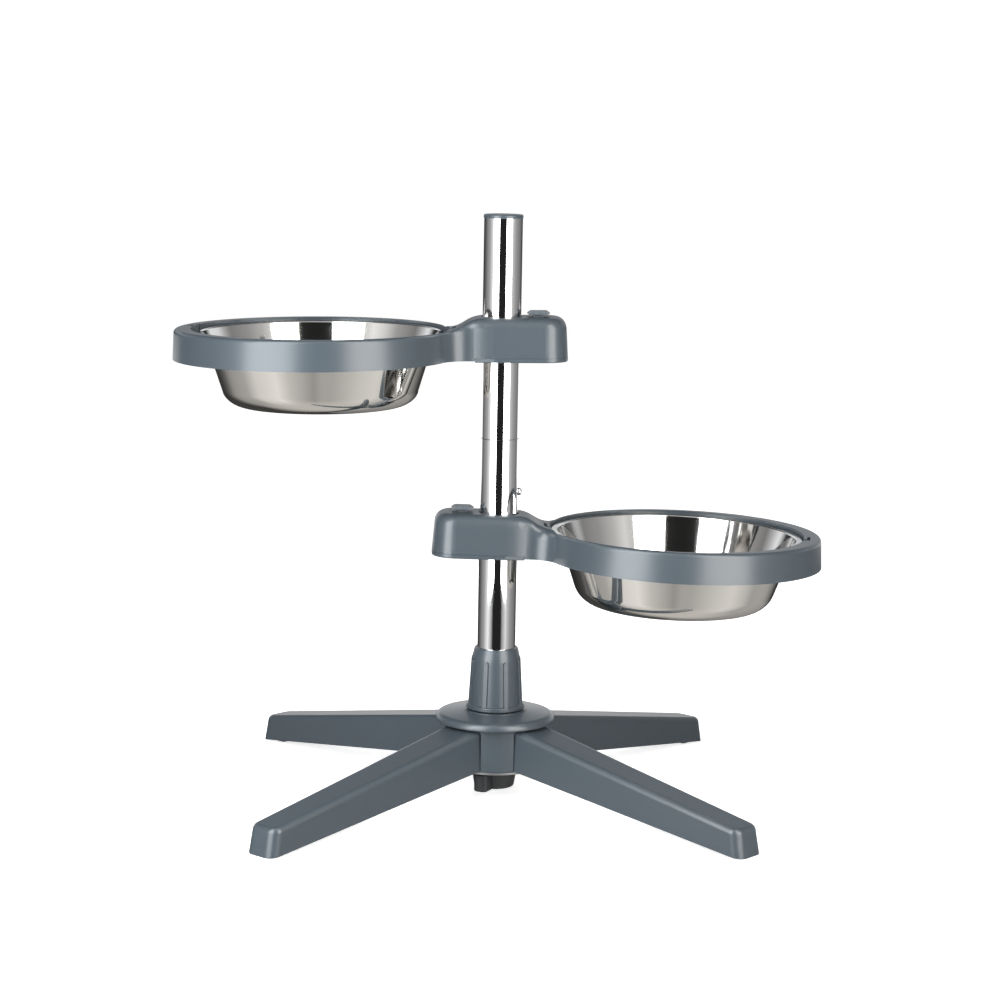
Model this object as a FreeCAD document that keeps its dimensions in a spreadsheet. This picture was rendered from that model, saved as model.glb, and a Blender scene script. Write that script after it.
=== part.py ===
"""Dog feeder stand: two stainless bowls in moulded rings that slide on one pole.

Millimetres, +Z up. The origin is on the floor, on the axis of the pole.
+X points to the lower bowl, -Y to the viewer who has the upper bowl on the left.
"""
import FreeCAD, Part
import math
import os
import Sketcher
from FreeCAD import Placement, Rotation, Vector

doc = FreeCAD.newDocument("feeder_stand")
sheet = doc.addObject("Spreadsheet::Sheet", "sizes")


class Size:
    """A number that remembers the sheet expression that it comes from."""

    def __init__(self, number, text):
        self.number = float(number)
        self.text = text

    def __add__(self, other):
        other = as_size(other)
        return Size(self.number + other.number, "(%s + %s)" % (self.text, other.text))

    def __sub__(self, other):
        other = as_size(other)
        return Size(self.number - other.number, "(%s - %s)" % (self.text, other.text))

    def __mul__(self, other):
        other = as_size(other)
        return Size(self.number * other.number, "(%s * %s)" % (self.text, other.text))

    def __truediv__(self, other):
        other = as_size(other)
        return Size(self.number / other.number, "(%s / %s)" % (self.text, other.text))

    def __radd__(self, other):
        return as_size(other) + self

    def __rsub__(self, other):
        return as_size(other) - self

    def __rmul__(self, other):
        return as_size(other) * self

    def __neg__(self):
        return Size(-self.number, "(0 - %s)" % self.text)

    def __float__(self):
        return self.number


def as_size(value):
    """A plain number used beside sizes."""
    if isinstance(value, Size):
        return value
    return Size(value, "(%.9g)" % value if value >= 0 else "(0 - %.9g)" % -value)


def cosine(angle):
    """Cosine of an angle in degrees, in Python and in the sheet."""
    return Size(math.cos(math.radians(angle.number)), "cos(%s * 1 deg)" % angle.text)


def sine(angle):
    """Sine of an angle in degrees, in Python and in the sheet."""
    return Size(math.sin(math.radians(angle.number)), "sin(%s * 1 deg)" % angle.text)


def tangent(angle):
    """Tangent of an angle in degrees, in Python and in the sheet."""
    return Size(math.tan(math.radians(angle.number)), "tan(%s * 1 deg)" % angle.text)


row_count = 0


def size(alias, number, meaning):
    """One driving dimension: a row of the sheet with its name and meaning."""
    global row_count
    row_count += 1
    sheet.set("A%d" % row_count, meaning)
    sheet.set("B%d" % row_count, "%.6g" % number)
    sheet.setAlias("B%d" % row_count, alias)
    return Size(number, "sizes." + alias)


# Drawing
past = size("past", 10.0, "how far a cutting form reaches past the surface that it cuts")
overlap = size("overlap", 0.5, "how far joined forms run into each other")
head_sunk = size("head_sunk", 0.2, "gap below and above a bolt or screw head in its seat")

# Pole
pole_od = size("pole_od", 32.0, "outside diameter of the pole tubes")
tube_wall = size("tube_wall", 1.2, "wall of the pole tubes")
pole_top = size("pole_top", 488.3, "height of the pole's upper end")
pole_seam = size("pole_seam", 305.2, "height of the seam between the two tubes")
pole_bottom = size("pole_bottom", 41.0, "height of the pole's lower end inside the hub")
seam_gap = size("seam_gap", 0.15, "gap between the two tube ends at the seam")
cap_flange = size("cap_flange", 3.0, "thickness of the cap above the tube")
cap_overhang = size("cap_overhang", 0.4, "how far the cap stands out past the tube")
cap_edge = size("cap_edge", 1.1, "rounded edge of the cap")
cap_skirt = size("cap_skirt", 16.0, "depth of the cap inside the tube")
cap_wall = size("cap_wall", 1.8, "wall of the cap's skirt")
slip = size("slip", 0.15, "clearance between parts that slide into each other by hand")
joiner_wall = size("joiner_wall", 1.2, "wall of the joining sleeve")
joiner_low = size("joiner_low", 234.0, "lower end of the joining sleeve")
joiner_high = size("joiner_high", 352.0, "upper end of the joining sleeve")
ball_height = size("ball_height", 260.1, "height of the snap ball")
ball_diameter = size("ball_diameter", 6.2, "diameter of the snap ball")
ball_out = size("ball_out", 3.5, "how far the ball stands out of the tube")
ball_gap = size("ball_gap", 0.3, "clearance of the ball in the tube holes")
leaf_thick = size("leaf_thick", 0.8, "thickness of the leaf that carries the ball")
leaf_width = size("leaf_width", 8.0, "width of the leaf")
leaf_length = size("leaf_length", 44.0, "length of the leaf's arms above the ball")
leaf_gap = size("leaf_gap", 4.3, "room that the ball has to go in before the leaf closes")
leaf_inset = size("leaf_inset", 0.85, "distance of the leaf's flat face from the round wall")
plug_height = size("plug_height", 22.0, "height of the foot plug inside the tube")
plug_flange = size("plug_flange", 2.5, "flange of the foot plug under the tube end")
nut_flats = size("nut_flats", 13.0, "width across the flats of the foot nut")
nut_height = size("nut_height", 6.8, "height of the foot nut")
nut_bore = size("nut_bore", 8.4, "bore of the foot nut round the stud")
stud_diameter = size("stud_diameter", 8.0, "diameter of the knob's stud")
stud_top = size("stud_top", 57.0, "height of the stud's upper end")
stud_gap = size("stud_gap", 0.45, "clearance of the stud in the hub and the clamp plate")
bolt_head = size("bolt_head", 5.8, "height of the stud's head in the knob")

# Hub
hub_radius = size("hub_radius", 50.6, "radius of the hub's disc")
hub_rim_low = size("hub_rim_low", 64.6, "height of the disc's underside")
hub_rim_round = size("hub_rim_round", 5.6, "rounding of the disc's rim")
hub_rim_height = size("hub_rim_height", 6.2, "height of the disc's rim")
hub_crown = size("hub_crown", 73.4, "height of the disc beside the collar nut")
hub_step_radius = size("hub_step_radius", 26.2, "radius of the low step under the collar nut")
hub_step = size("hub_step", 0.7, "height of that step")
hub_core_radius = size("hub_core_radius", 44.2, "radius of the panels between the legs")
hub_flare = size("hub_flare", 3.0, "rounding between the panels and the disc")
hub_panel_low = size("hub_panel_low", 28.7, "height of the panels' lower edge")
hub_tube_wall = size("hub_tube_wall", 3.0, "wall of the hub's central tube")
hub_floor = size("hub_floor", 4.0, "floor of the central tube that carries the pole")
neck_top = size("neck_top", 103.0, "height of the hub's threaded neck")
neck_wall = size("neck_wall", 2.7, "wall of the threaded neck")

# Collar nut and its collet
collar_low = size("collar_low", 75.0, "height of the collar nut's lower face")
collar_lip = size("collar_lip", 3.2, "height of the nut's lower lip")
collar_lip_radius = size("collar_lip_radius", 24.6, "radius of the nut's lower lip")
collar_top = size("collar_top", 127.1, "height of the collar nut's upper face")
collar_foot_radius = size("collar_foot_radius", 22.7, "radius of the nut above its lip")
collar_waist = size("collar_waist", 118.4, "height where the nut starts to close in")
collar_waist_radius = size("collar_waist_radius", 20.3, "radius of the nut there")
collar_top_radius = size("collar_top_radius", 18.2, "radius of the nut's upper edge")
collar_gap = size("collar_gap", 0.35, "running clearance inside the collar nut")
collar_bend = size("collar_bend", 30.0, "radius of the bend where the nut starts to close in")
collar_edge = size("collar_edge", 0.7, "rounding of the nut's edges")
rib_count = size("rib_count", 8, "grip ribs on the collar nut")
rib_width = size("rib_width", 3.4, "width of a grip rib")
rib_proud = size("rib_proud", 1.5, "how far a rib stands out of the nut")
rib_low = size("rib_low", 79.0, "height of the ribs' lower end")
rib_top = size("rib_top", 117.5, "height of the ribs' upper end")
collet_slots = size("collet_slots", 6, "slots in the collet ring")
collet_wall = size("collet_wall", 1.5, "least wall of the collet ring")
collet_top = size("collet_top", 123.0, "height of the collet's upper end")
collet_slot = size("collet_slot", 1.6, "width of the collet's slots")

# Legs
leg_count = size("leg_count", 4, "legs")
base_turn = size("base_turn", 3.1, "turn of the legs from the diagonals, degrees")
leg_tip = size("leg_tip", 273.4, "distance of a leg's tip from the pole axis")
leg_root = size("leg_root", 25.0, "distance of a leg's inner end from the pole axis")
leg_mark = size("leg_mark", 45.0, "distance from the axis where the next sizes are taken")
leg_mark_low = size("leg_mark_low", 28.3, "height of the leg's underside at the mark")
leg_mark_top = size("leg_mark_top", 62.9, "height of the leg's top at the mark")
leg_mark_width = size("leg_mark_width", 38.4, "width of the leg's underside at the mark")
leg_tip_top = size("leg_tip_top", 22.5, "height of the leg's top at its tip")
leg_tip_width = size("leg_tip_width", 30.9, "width of the leg's underside at its tip")
leg_lean = size("leg_lean", 2.4, "lean of a leg's sides, degrees")
leg_solid = size("leg_solid", 26.0, "length of the solid foot at the leg's tip")
leg_rib_back = size("leg_rib_back", 6.0, "how far the ribs stand back from the underside")
leg_seat = size("leg_seat", 0.3, "gap between a leg's top and the disc")
leg_tip_draft = size("leg_tip_draft", 4.0, "how far the tip's upper edge stands back")
leg_blank = size("leg_blank", 75.5, "height of the form that a leg is cut from")
leg_wall = size("leg_wall", 2.6, "wall of the moulded legs")
leg_corner = size("leg_corner", 8.5, "rounding of the tip's upright corners")
leg_edge = size("leg_edge", 5.0, "rounding of the legs' upper edges")
leg_gap = size("leg_gap", 0.45, "gap between a leg and its socket in the hub")
leg_rib = size("leg_rib", 1.8, "thickness of the ribs inside a leg")
leg_ribs = size("leg_ribs", 4, "cross ribs inside a leg")
pad_length = size("pad_length", 17.0, "length of a rubber foot pad")
pad_width = size("pad_width", 15.0, "width of a rubber foot pad")
pad_height = size("pad_height", 6.0, "height of a rubber foot pad")
pad_proud = size("pad_proud", 0.5, "how far a pad stands out below the leg")

# Clamp plate and wing knob
clamp_thick = size("clamp_thick", 2.0, "thickness of the leg clamp plate")
clamp_radius = size("clamp_radius", 43.6, "radius of the leg clamp plate")
clamp_edge = size("clamp_edge", 0.7, "rounding of the clamp plate's lower edge")
lug_height = size("lug_height", 7.0, "height of the plate's lugs inside the legs")
lug_width = size("lug_width", 22.0, "width of a lug")
lug_thick = size("lug_thick", 4.0, "thickness of a lug")
lug_gap = size("lug_gap", 1.0, "gap between a lug and the leg's inner end")
lug_round = size("lug_round", 1.0, "rounding of a lug's corners")
face_gap = size("face_gap", 0.3, "gap between faces that are drawn together")
knob_low = size("knob_low", 7.0, "height of the knob's lower face")
knob_hub_radius = size("knob_hub_radius", 19.9, "radius of the knob's boss")
knob_foot_radius = size("knob_foot_radius", 16.7, "radius of the knob's boss at its lower end")
knob_corner = size("knob_corner", 4.3, "rounding of the wings' corners")
knob_span = size("knob_span", 59.0, "span over the knob's two wings")
knob_wing = size("knob_wing", 12.4, "width of a wing at its end")
knob_wing_top = size("knob_wing_top", 22.0, "height of the wings' upper edge")
knob_turn = size("knob_turn", 65.0, "direction of the wings, degrees")
knob_round = size("knob_round", 1.6, "rounding of the knob's edges")

# Bowl holders, in their own frame: origin on the pole axis in the ring's top plane
upper_height = size("upper_height", 396.7, "height of the upper ring's top plane at the pole")
lower_height = size("lower_height", 232.1, "height of the lower ring's top plane at the pole")
upper_droop = size("upper_droop", 0.74, "droop of the upper ring, degrees")
lower_droop = size("lower_droop", 1.34, "droop of the lower ring, degrees")
upper_turn = size("upper_turn", 180.0, "direction of the upper ring, degrees")
lower_turn = size("lower_turn", 2.15, "direction of the lower ring, degrees")
ring_reach = size("ring_reach", 157.0, "distance of the ring's centre from the pole axis")
ring_radius = size("ring_radius", 116.2, "outer radius of the ring")
ring_height = size("ring_height", 25.0, "height of the ring")
ring_edge = size("ring_edge", 3.2, "rounding of the ring's upper edge")
block_rise = size("block_rise", 10.2, "height of the block's top above the ring")
block_end = size("block_end", 55.2, "distance of the block's end from the pole axis")
block_half = size("block_half", 27.2, "half width of the block")
block_corner = size("block_corner", 19.5, "rounding of the block's upright corners")
block_edge = size("block_edge", 10.0, "rounding of the block's upper edge")
shoulder_start = size("shoulder_start", 6.0, "where the block's side starts to turn in")
shoulder_radius = size("shoulder_radius", 80.0, "radius of the block's shoulder")
shoulder_sweep = size("shoulder_sweep", 12.0, "turn of the block's shoulder, degrees")
slope_start = size("slope_start", 22.0, "upper corner of the fall from the block to the ring")
slope_end = size("slope_end", 39.0, "lower corner of that fall")
slope_round = size("slope_round", 26.0, "radius of the two bends of the fall")
mould_wall = size("mould_wall", 2.8, "wall of the moulded holder")
holder_draft = size("holder_draft", 3.2, "lean of the holder's outer walls, degrees")
cavity_shelf = size("cavity_shelf", 4.6, "how far the hollow draws in under the block's rounded edge")

bowl_reach = size("bowl_reach", 150.4, "distance of the bowl's centre from the pole axis")
bowl_rim_radius = size("bowl_rim_radius", 106.6, "outer radius of the bowl's rim")
bowl_mouth_radius = size("bowl_mouth_radius", 99.7, "radius of the bowl's mouth")
bowl_rim_drop = size("bowl_rim_drop", 3.0, "how far the rim lies under the ring's top")
bowl_depth = size("bowl_depth", 61.7, "depth of the bowl over its rim")
bowl_base_radius = size("bowl_base_radius", 79.0, "radius where the wall and the base would meet")
bowl_base_round = size("bowl_base_round", 22.0, "rounding between the wall and the base")
bowl_dimple_radius = size("bowl_dimple_radius", 54.0, "radius of the raised middle of the base")
bowl_dimple = size("bowl_dimple", 1.5, "height of that raised middle")
bowl_lip_round = size("bowl_lip_round", 1.6, "rounding of the bowl's mouth and rim")
bowl_wall = size("bowl_wall", 0.9, "sheet thickness of the bowl")
bowl_hem = size("bowl_hem", 2.4, "height of the rolled hem of the rim")
bowl_gap = size("bowl_gap", 0.3, "gap between the hem and its ledge")
recess_gap = size("recess_gap", 0.9, "room round the rim in the ring")
ledge_inner = size("ledge_inner", 100.8, "inner radius of the ledge under the rim")
ledge_web = size("ledge_web", 2.6, "thickness of the ledge")
ring_ribs = size("ring_ribs", 20, "ribs inside the ring's channel")
ring_rib = size("ring_rib", 1.8, "thickness of those ribs")
ring_rib_back = size("ring_rib_back", 4.0, "how far the ribs stand back from the lower edge")

finger_width = size("finger_width", 13.0, "width of a snap finger that holds the rim")
finger_slot = size("finger_slot", 2.2, "gap beside a snap finger")
finger_rise = size("finger_rise", 0.6, "how far a finger's nose stands over the ring's top")
finger_thick = size("finger_thick", 2.4, "thickness of a finger")
finger_turn = size("finger_turn", 11.0, "turn of the outer finger from the arm, degrees")
finger_nose = size("finger_nose", 0.6, "how far the nose leans to the rim")
finger_round = size("finger_round", 0.8, "rounding of a finger's corners")

# Mechanism in each block
pole_hole = size("pole_hole", 0.9, "clearance of the block's top hole round the pole")
bush_wall = size("bush_wall", 1.7, "wall of the slide bush")
bush_slip = size("bush_slip", 0.3, "clearance of the slide bush round the pole")
bush_flange = size("bush_flange", 3.4, "width of the bush's flange")
bush_flange_thick = size("bush_flange_thick", 1.8, "thickness of the bush's flange")
bush_top = size("bush_top", 7.5, "depth of the bush's upper end below the ring's top")
bush_play = size("bush_play", 0.8, "clearance round the bush, for the holder's droop")
cover_thick = size("cover_thick", 2.4, "thickness of the block's lower cover inside the block")
cover_drop = size("cover_drop", 1.1, "how far the cover hangs below the ring")
cover_edge = size("cover_edge", 0.9, "rounding of the cover's lower edge")
cover_gap = size("cover_gap", 0.15, "gap round the cover")
cover_end = size("cover_end", 22.0, "where the cover's wide part ends")
cover_end_half = size("cover_end_half", 24.6, "half width of the cover there")
tongue_end = size("tongue_end", 37.0, "where the cover's tongue ends")
tongue_half = size("tongue_half", 11.0, "half width of the cover's tongue")
cavity_end = size("cavity_end", 26.5, "where the hollow of the block ends")
cavity_step = size("cavity_step", 14.0, "where the hollow's roof steps down under the fall")
cavity_low_roof = size("cavity_low_roof", 1.5, "height of the lower roof over the ring's top plane")
front_inset = size("front_inset", 1.6, "how far the sides of the front hollow stand in")
ledge_back = size("ledge_back", 4.2, "length of the ledge under the plate's pivot end")
ledge_half = size("ledge_half", 12.0, "half width of that ledge")
plate_thick = size("plate_thick", 2.0, "thickness of the lock plate")
plate_hole = size("plate_hole", 32.7, "hole of the lock plate")
plate_half = size("plate_half", 20.0, "half width of the lock plate")
plate_tilt = size("plate_tilt", 3.0, "tilt of the lock plate at rest, degrees")
plate_depth = size("plate_depth", 3.0, "depth of the plate's middle below the ring's top")
plate_pivot = size("plate_pivot", 23.5, "distance of the plate's pivot edge from the pole axis")
plate_nose = size("plate_nose", 1.8, "how far the plate goes past its pivot")
plate_lever = size("plate_lever", 36.5, "length of the plate's lever")
plate_corner = size("plate_corner", 2.0, "rounding of the plate's corners")
plate_shoulder = size("plate_shoulder", 11.0, "rounding beside the plate's hole")
lever_start = size("lever_start", 24.0, "where the plate's lever starts")
lever_bend = size("lever_bend", 3.0, "rounding where the lever starts")
lever_half = size("lever_half", 8.0, "half width of the lever's end")
fulcrum_thick = size("fulcrum_thick", 2.4, "thickness of the fulcrum rib")
button_reach = size("button_reach", 30.5, "distance of the button from the pole axis")
button_rise = size("button_rise", 4.8, "height of the button over the block")
button_head = size("button_head", 2.8, "thickness of the button's head")
button_half = size("button_half", 9.4, "half length of the button's head")
button_width = size("button_width", 15.0, "width of the button's head")
button_chamfer = size("button_chamfer", 2.9, "length of the slope at the head's ends")
button_lip = size("button_lip", 1.0, "height of the slope below the head's ends")
button_edge = size("button_edge", 0.8, "rounding of the head's edges")
stem_length = size("stem_length", 9.0, "length of the button's stem along the arm")
stem_width = size("stem_width", 11.0, "width of the button's stem")
stem_gap = size("stem_gap", 0.35, "clearance round the button's stem")
stem_stop = size("stem_stop", 1.8, "how far the stop on the stem stands out")
stem_corner = size("stem_corner", 1.0, "rounding of the stem's corners")
spring_radius = size("spring_radius", 4.0, "mean radius of the button spring")
spring_wire = size("spring_wire", 0.9, "wire of the button spring")
spring_turns = size("spring_turns", 5, "turns of the button spring")
spring_gap = size("spring_gap", 0.2, "gap between the button spring and the cover")
spring_slack = size("spring_slack", 0.5, "gap between the button spring and the lever")
seat_height = size("seat_height", 3.0, "height of the spring's seat on the cover")
seat_wall = size("seat_wall", 1.4, "wall of the spring's seat")
screw_diameter = size("screw_diameter", 3.0, "diameter of the cover screws")
screw_length = size("screw_length", 11.0, "length of the cover screws")
screw_room = size("screw_room", 1.0, "room above the tip of a cover screw")
screw_head = size("screw_head", 5.6, "head of the cover screws")
screw_sink = size("screw_sink", 1.6, "depth of the screw heads in the cover")
screw_gap = size("screw_gap", 0.15, "clearance round the screws")
boss_radius = size("boss_radius", 3.6, "radius of the screw bosses")
screw_back = size("screw_back", 45.0, "distance of the end screws from the pole axis")
screw_side = size("screw_side", 16.5, "distance of the end screws from the arm's middle")
screw_front = size("screw_front", 31.5, "distance of the tongue screw from the pole axis")

pole_r = pole_od / 2
tube_bore = pole_r - tube_wall
joiner_r = tube_bore - slip


sub_parts = []


def add_body(label, kept=True):
    """An empty body for one sub-part, or for a form that a sub-part is cut from."""
    body = doc.addObject("PartDesign::Body", label)
    body.Label = label
    if kept:
        sub_parts.append(body)
    return body


def add_sketch(body, plane, name, offset=None):
    """A sketch on one of the body's own planes, moved along its normal."""
    sketch = body.newObject("Sketcher::SketchObject", body.Label + "_" + name)
    for feature in body.Origin.OriginFeatures:
        if feature.Role == plane:
            sketch.AttachmentSupport = [(feature, "")]
    sketch.MapMode = "FlatFace"
    if offset is not None:
        sketch.setExpression("AttachmentOffset.Base.z", as_size(offset).text)
    doc.recompute()
    return sketch


def tie(sketch, kind, arguments, value):
    """A dimension of a sketch, driven by the sheet."""
    number = math.radians(float(value)) if kind == "Angle" else float(value)
    index = sketch.addConstraint(Sketcher.Constraint(kind, *arguments, number))
    text = as_size(value).text
    if kind == "Angle":
        text = text + " * 1 deg"
    sketch.setExpression("Constraints[%d]" % index, text)


def tie_point(sketch, geometry, position, x, y):
    """Both coordinates of a point."""
    tie(sketch, "DistanceX", (-1, 1, geometry, position), x)
    tie(sketch, "DistanceY", (-1, 1, geometry, position), y)


def outline(sketch, corners):
    """A closed outline through corners (x, y) or (x, y, rounding)."""
    count = len(corners)
    spots = [Vector(float(c[0]), float(c[1]), 0) for c in corners]
    starts = []
    ends = []
    arcs = []
    for i, corner in enumerate(corners):
        before = (spots[i - 1] - spots[i]).normalize()
        after = (spots[(i + 1) % count] - spots[i]).normalize()
        if len(corner) == 2:
            ends.append(spots[i])
            starts.append(spots[i])
            arcs.append(None)
            continue
        radius = float(corner[2])
        half = before.getAngle(after) / 2
        reach = radius / math.tan(half)
        ends.append(spots[i] + before * reach)
        starts.append(spots[i] + after * reach)
        middle = spots[i] + (before + after).normalize() * (radius / math.sin(half))
        arcs.append(Part.Circle(middle, Vector(0, 0, 1), radius))
    lines = []
    for i in range(count):
        line = Part.LineSegment(starts[i], ends[(i + 1) % count])
        lines.append(sketch.addGeometry(line))
    for i, corner in enumerate(corners):
        into, out = lines[i - 1], lines[i]
        if arcs[i] is None:
            sketch.addConstraint(Sketcher.Constraint("Coincident", into, 2, out, 1))
            tie_point(sketch, out, 1, corner[0], corner[1])
            continue
        round_corner(sketch, into, out, arcs[i], ends[i], starts[i], corner)


def round_corner(sketch, into, out, circle_curve, end, start, corner):
    """An arc between two lines, tied to the corner where they would meet."""
    low = circle_curve.parameter(end)
    high = circle_curve.parameter(start)
    forward = (high - low) % (2 * math.pi) < math.pi
    arc = Part.ArcOfCircle(circle_curve, low, high) if forward else Part.ArcOfCircle(circle_curve, high, low)
    index = sketch.addGeometry(arc)
    first, last = (1, 2) if forward else (2, 1)
    sketch.addConstraint(Sketcher.Constraint("Tangent", into, 2, index, first))
    sketch.addConstraint(Sketcher.Constraint("Tangent", index, last, out, 1))
    tie(sketch, "Radius", (index,), corner[2])
    point = sketch.addGeometry(Part.Point(Vector(float(corner[0]), float(corner[1]), 0)), True)
    tie_point(sketch, point, 1, corner[0], corner[1])
    sketch.addConstraint(Sketcher.Constraint("PointOnObject", point, 1, into))
    sketch.addConstraint(Sketcher.Constraint("PointOnObject", point, 1, out))


def circle(sketch, x, y, radius):
    """A circle with its centre and radius driven by the sheet."""
    centre = Vector(float(x), float(y), 0)
    index = sketch.addGeometry(Part.Circle(centre, Vector(0, 0, 1), float(radius)))
    tie_point(sketch, index, 3, x, y)
    tie(sketch, "Radius", (index,), radius)


def rectangle(sketch, x0, y0, x1, y1, rounding=None):
    """An upright rectangle between two corners."""
    corners = [(x0, y0), (x1, y0), (x1, y1), (x0, y1)]
    if rounding is not None:
        corners = [(x, y, rounding) for x, y in corners]
    outline(sketch, corners)


def finish_feature(body, feature, sign):
    """Recompute, and make sure that the feature added or removed material."""
    before = body.Shape.Volume if body.Shape and not body.Shape.isNull() else 0.0
    feature.Refine = False
    doc.recompute()
    change = body.Shape.Volume - before
    if change * sign <= 0:
        raise RuntimeError("%s changed the volume by %.3f" % (feature.Name, change))
    return feature


def pad(body, sketch, length, reverse=False, both=False, taper=None):
    """Material added along the sketch's normal."""
    feature = body.newObject("PartDesign::Pad", sketch.Name + "_pad")
    feature.Profile = sketch
    feature.setExpression("Length", as_size(length).text)
    feature.Reversed = reverse
    feature.SideType = "Symmetric" if both else "One side"
    if taper is not None:
        feature.setExpression("TaperAngle", as_size(taper).text)
    return finish_feature(body, feature, 1)


def pocket(body, sketch, length, reverse=False, both=False):
    """Material cut away against the sketch's normal, or along it when reversed."""
    feature = body.newObject("PartDesign::Pocket", sketch.Name + "_pocket")
    feature.Profile = sketch
    feature.setExpression("Length", as_size(length).text)
    feature.Reversed = reverse
    feature.SideType = "Symmetric" if both else "One side"
    return finish_feature(body, feature, -1)


def turned(body, sketch, cut=False):
    """A profile turned about the sketch's upright axis."""
    kind = "PartDesign::Groove" if cut else "PartDesign::Revolution"
    feature = body.newObject(kind, sketch.Name + "_turned")
    feature.Profile = sketch
    feature.ReferenceAxis = (sketch, ["V_Axis"])
    feature.Angle = 360.0
    return finish_feature(body, feature, -1 if cut else 1)


def repeat_round(body, feature, count):
    """The feature repeated evenly round the body's upright axis."""
    pattern = body.newObject("PartDesign::PolarPattern", feature.Name + "_round")
    pattern.Originals = [feature]
    for axis in body.Origin.OriginFeatures:
        if axis.Role == "Z_Axis":
            pattern.Axis = (axis, [""])
    pattern.Angle = 360.0
    pattern.setExpression("Occurrences", count.text)
    body.Tip = pattern
    doc.recompute()
    return pattern


def turn_sketch(sketch, turn):
    """Turn a sketch about the upright axis of the body that holds it."""
    sketch.setExpression("AttachmentOffset.Rotation.Angle", as_size(turn).text + " * 1 deg")
    sketch.AttachmentOffset = Placement(sketch.AttachmentOffset.Base, Rotation(Vector(0, 0, 1), float(turn)))


def edges_where(body, test):
    """Names of the body's edges that pass a test."""
    names = []
    for i, edge in enumerate(body.Shape.Edges):
        if test(edge):
            names.append("Edge%d" % (i + 1))
    return names


def soften(body, names, radius, name, chamfer=False):
    """Rounded or bevelled edges."""
    kind = "PartDesign::Chamfer" if chamfer else "PartDesign::Fillet"
    base = body.Tip
    feature = body.newObject(kind, body.Label + "_" + name)
    feature.Base = (base, names)
    feature.setExpression("Size" if chamfer else "Radius", as_size(radius).text)
    body.Tip = feature
    doc.recompute()
    return feature


def near(value, target, tolerance=0.02):
    return abs(float(value) - float(target)) < tolerance


def lathe(label, profiles):
    """A body turned from one or more closed profiles of (radius, height)."""
    body = add_body(label)
    for i, corners in enumerate(profiles):
        sketch = add_sketch(body, "XZ_Plane", "profile%d" % i)
        outline(sketch, corners)
        turned(body, sketch)
    return body


def side_hole(body, name, height, radius):
    """A round hole through the tube's wall on its +X side."""
    sketch = add_sketch(body, "YZ_Plane", name)
    circle(sketch, 0.0, height, radius)
    return pocket(body, sketch, pole_od, reverse=True)


def make_pole():
    """Two tubes, the sleeve that joins them, the sprung ball, the cap and the foot plug."""
    half_gap = seam_gap / 2
    bevel = tube_wall / 3
    lower = lathe("pole_lower_tube", [[
        (tube_bore, pole_bottom), (pole_r, pole_bottom),
        (pole_r, pole_seam - half_gap - bevel), (pole_r - bevel, pole_seam - half_gap),
        (tube_bore, pole_seam - half_gap)]])
    side_hole(lower, "ball_hole", ball_height, ball_diameter / 2 + ball_gap)
    lathe("pole_upper_tube", [[
        (tube_bore, pole_seam + half_gap), (pole_r - bevel, pole_seam + half_gap),
        (pole_r, pole_seam + half_gap + bevel), (pole_r, pole_top), (tube_bore, pole_top)]])
    joiner = lathe("pole_joiner", [[
        (joiner_r - joiner_wall, joiner_low), (joiner_r - joiner_wall / 2, joiner_low),
        (joiner_r, joiner_low + joiner_wall), (joiner_r, joiner_high),
        (joiner_r - joiner_wall, joiner_high)]])
    side_hole(joiner, "ball_hole", ball_height, ball_diameter / 2 + ball_gap)
    lathe("pole_cap", [[
        (0.0, pole_top), (0.0, pole_top + cap_flange),
        (pole_r + cap_overhang, pole_top + cap_flange, cap_edge),
        (pole_r + cap_overhang, pole_top), (tube_bore - slip, pole_top),
        (tube_bore - slip, pole_top - cap_skirt), (tube_bore - slip - cap_wall, pole_top - cap_skirt),
        (tube_bore - slip - cap_wall, pole_top - cap_wall), (0.0, pole_top - cap_wall)]])
    plug = lathe("pole_foot_plug", [[
        (nut_bore / 2, pole_bottom - plug_flange), (pole_r - slip, pole_bottom - plug_flange),
        (pole_r - slip, pole_bottom), (tube_bore - slip, pole_bottom),
        (tube_bore - slip, pole_bottom + plug_height), (nut_bore / 2, pole_bottom + plug_height)]])
    nut_floor = pole_bottom + plug_height - nut_height - plug_flange
    sketch = add_sketch(plug, "XY_Plane", "nut_pocket", pole_bottom + plug_height)
    hexagon(sketch, nut_flats + slip * 2)
    pocket(plug, sketch, nut_height + plug_flange)
    nut = add_body("pole_foot_nut")
    sketch = add_sketch(nut, "XY_Plane", "flats", nut_floor)
    hexagon(sketch, nut_flats)
    circle(sketch, 0.0, 0.0, nut_bore / 2)
    pad(nut, sketch, nut_height)


def hexagon(sketch, flats):
    """A hexagon round the origin with two flats facing +Y and -Y."""
    side = flats / math.sqrt(3)
    half = flats / 2
    outline(sketch, [(side, 0.0), (side / 2, half), (-side / 2, half),
                     (-side, 0.0), (-side / 2, -half), (side / 2, -half)])


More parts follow.
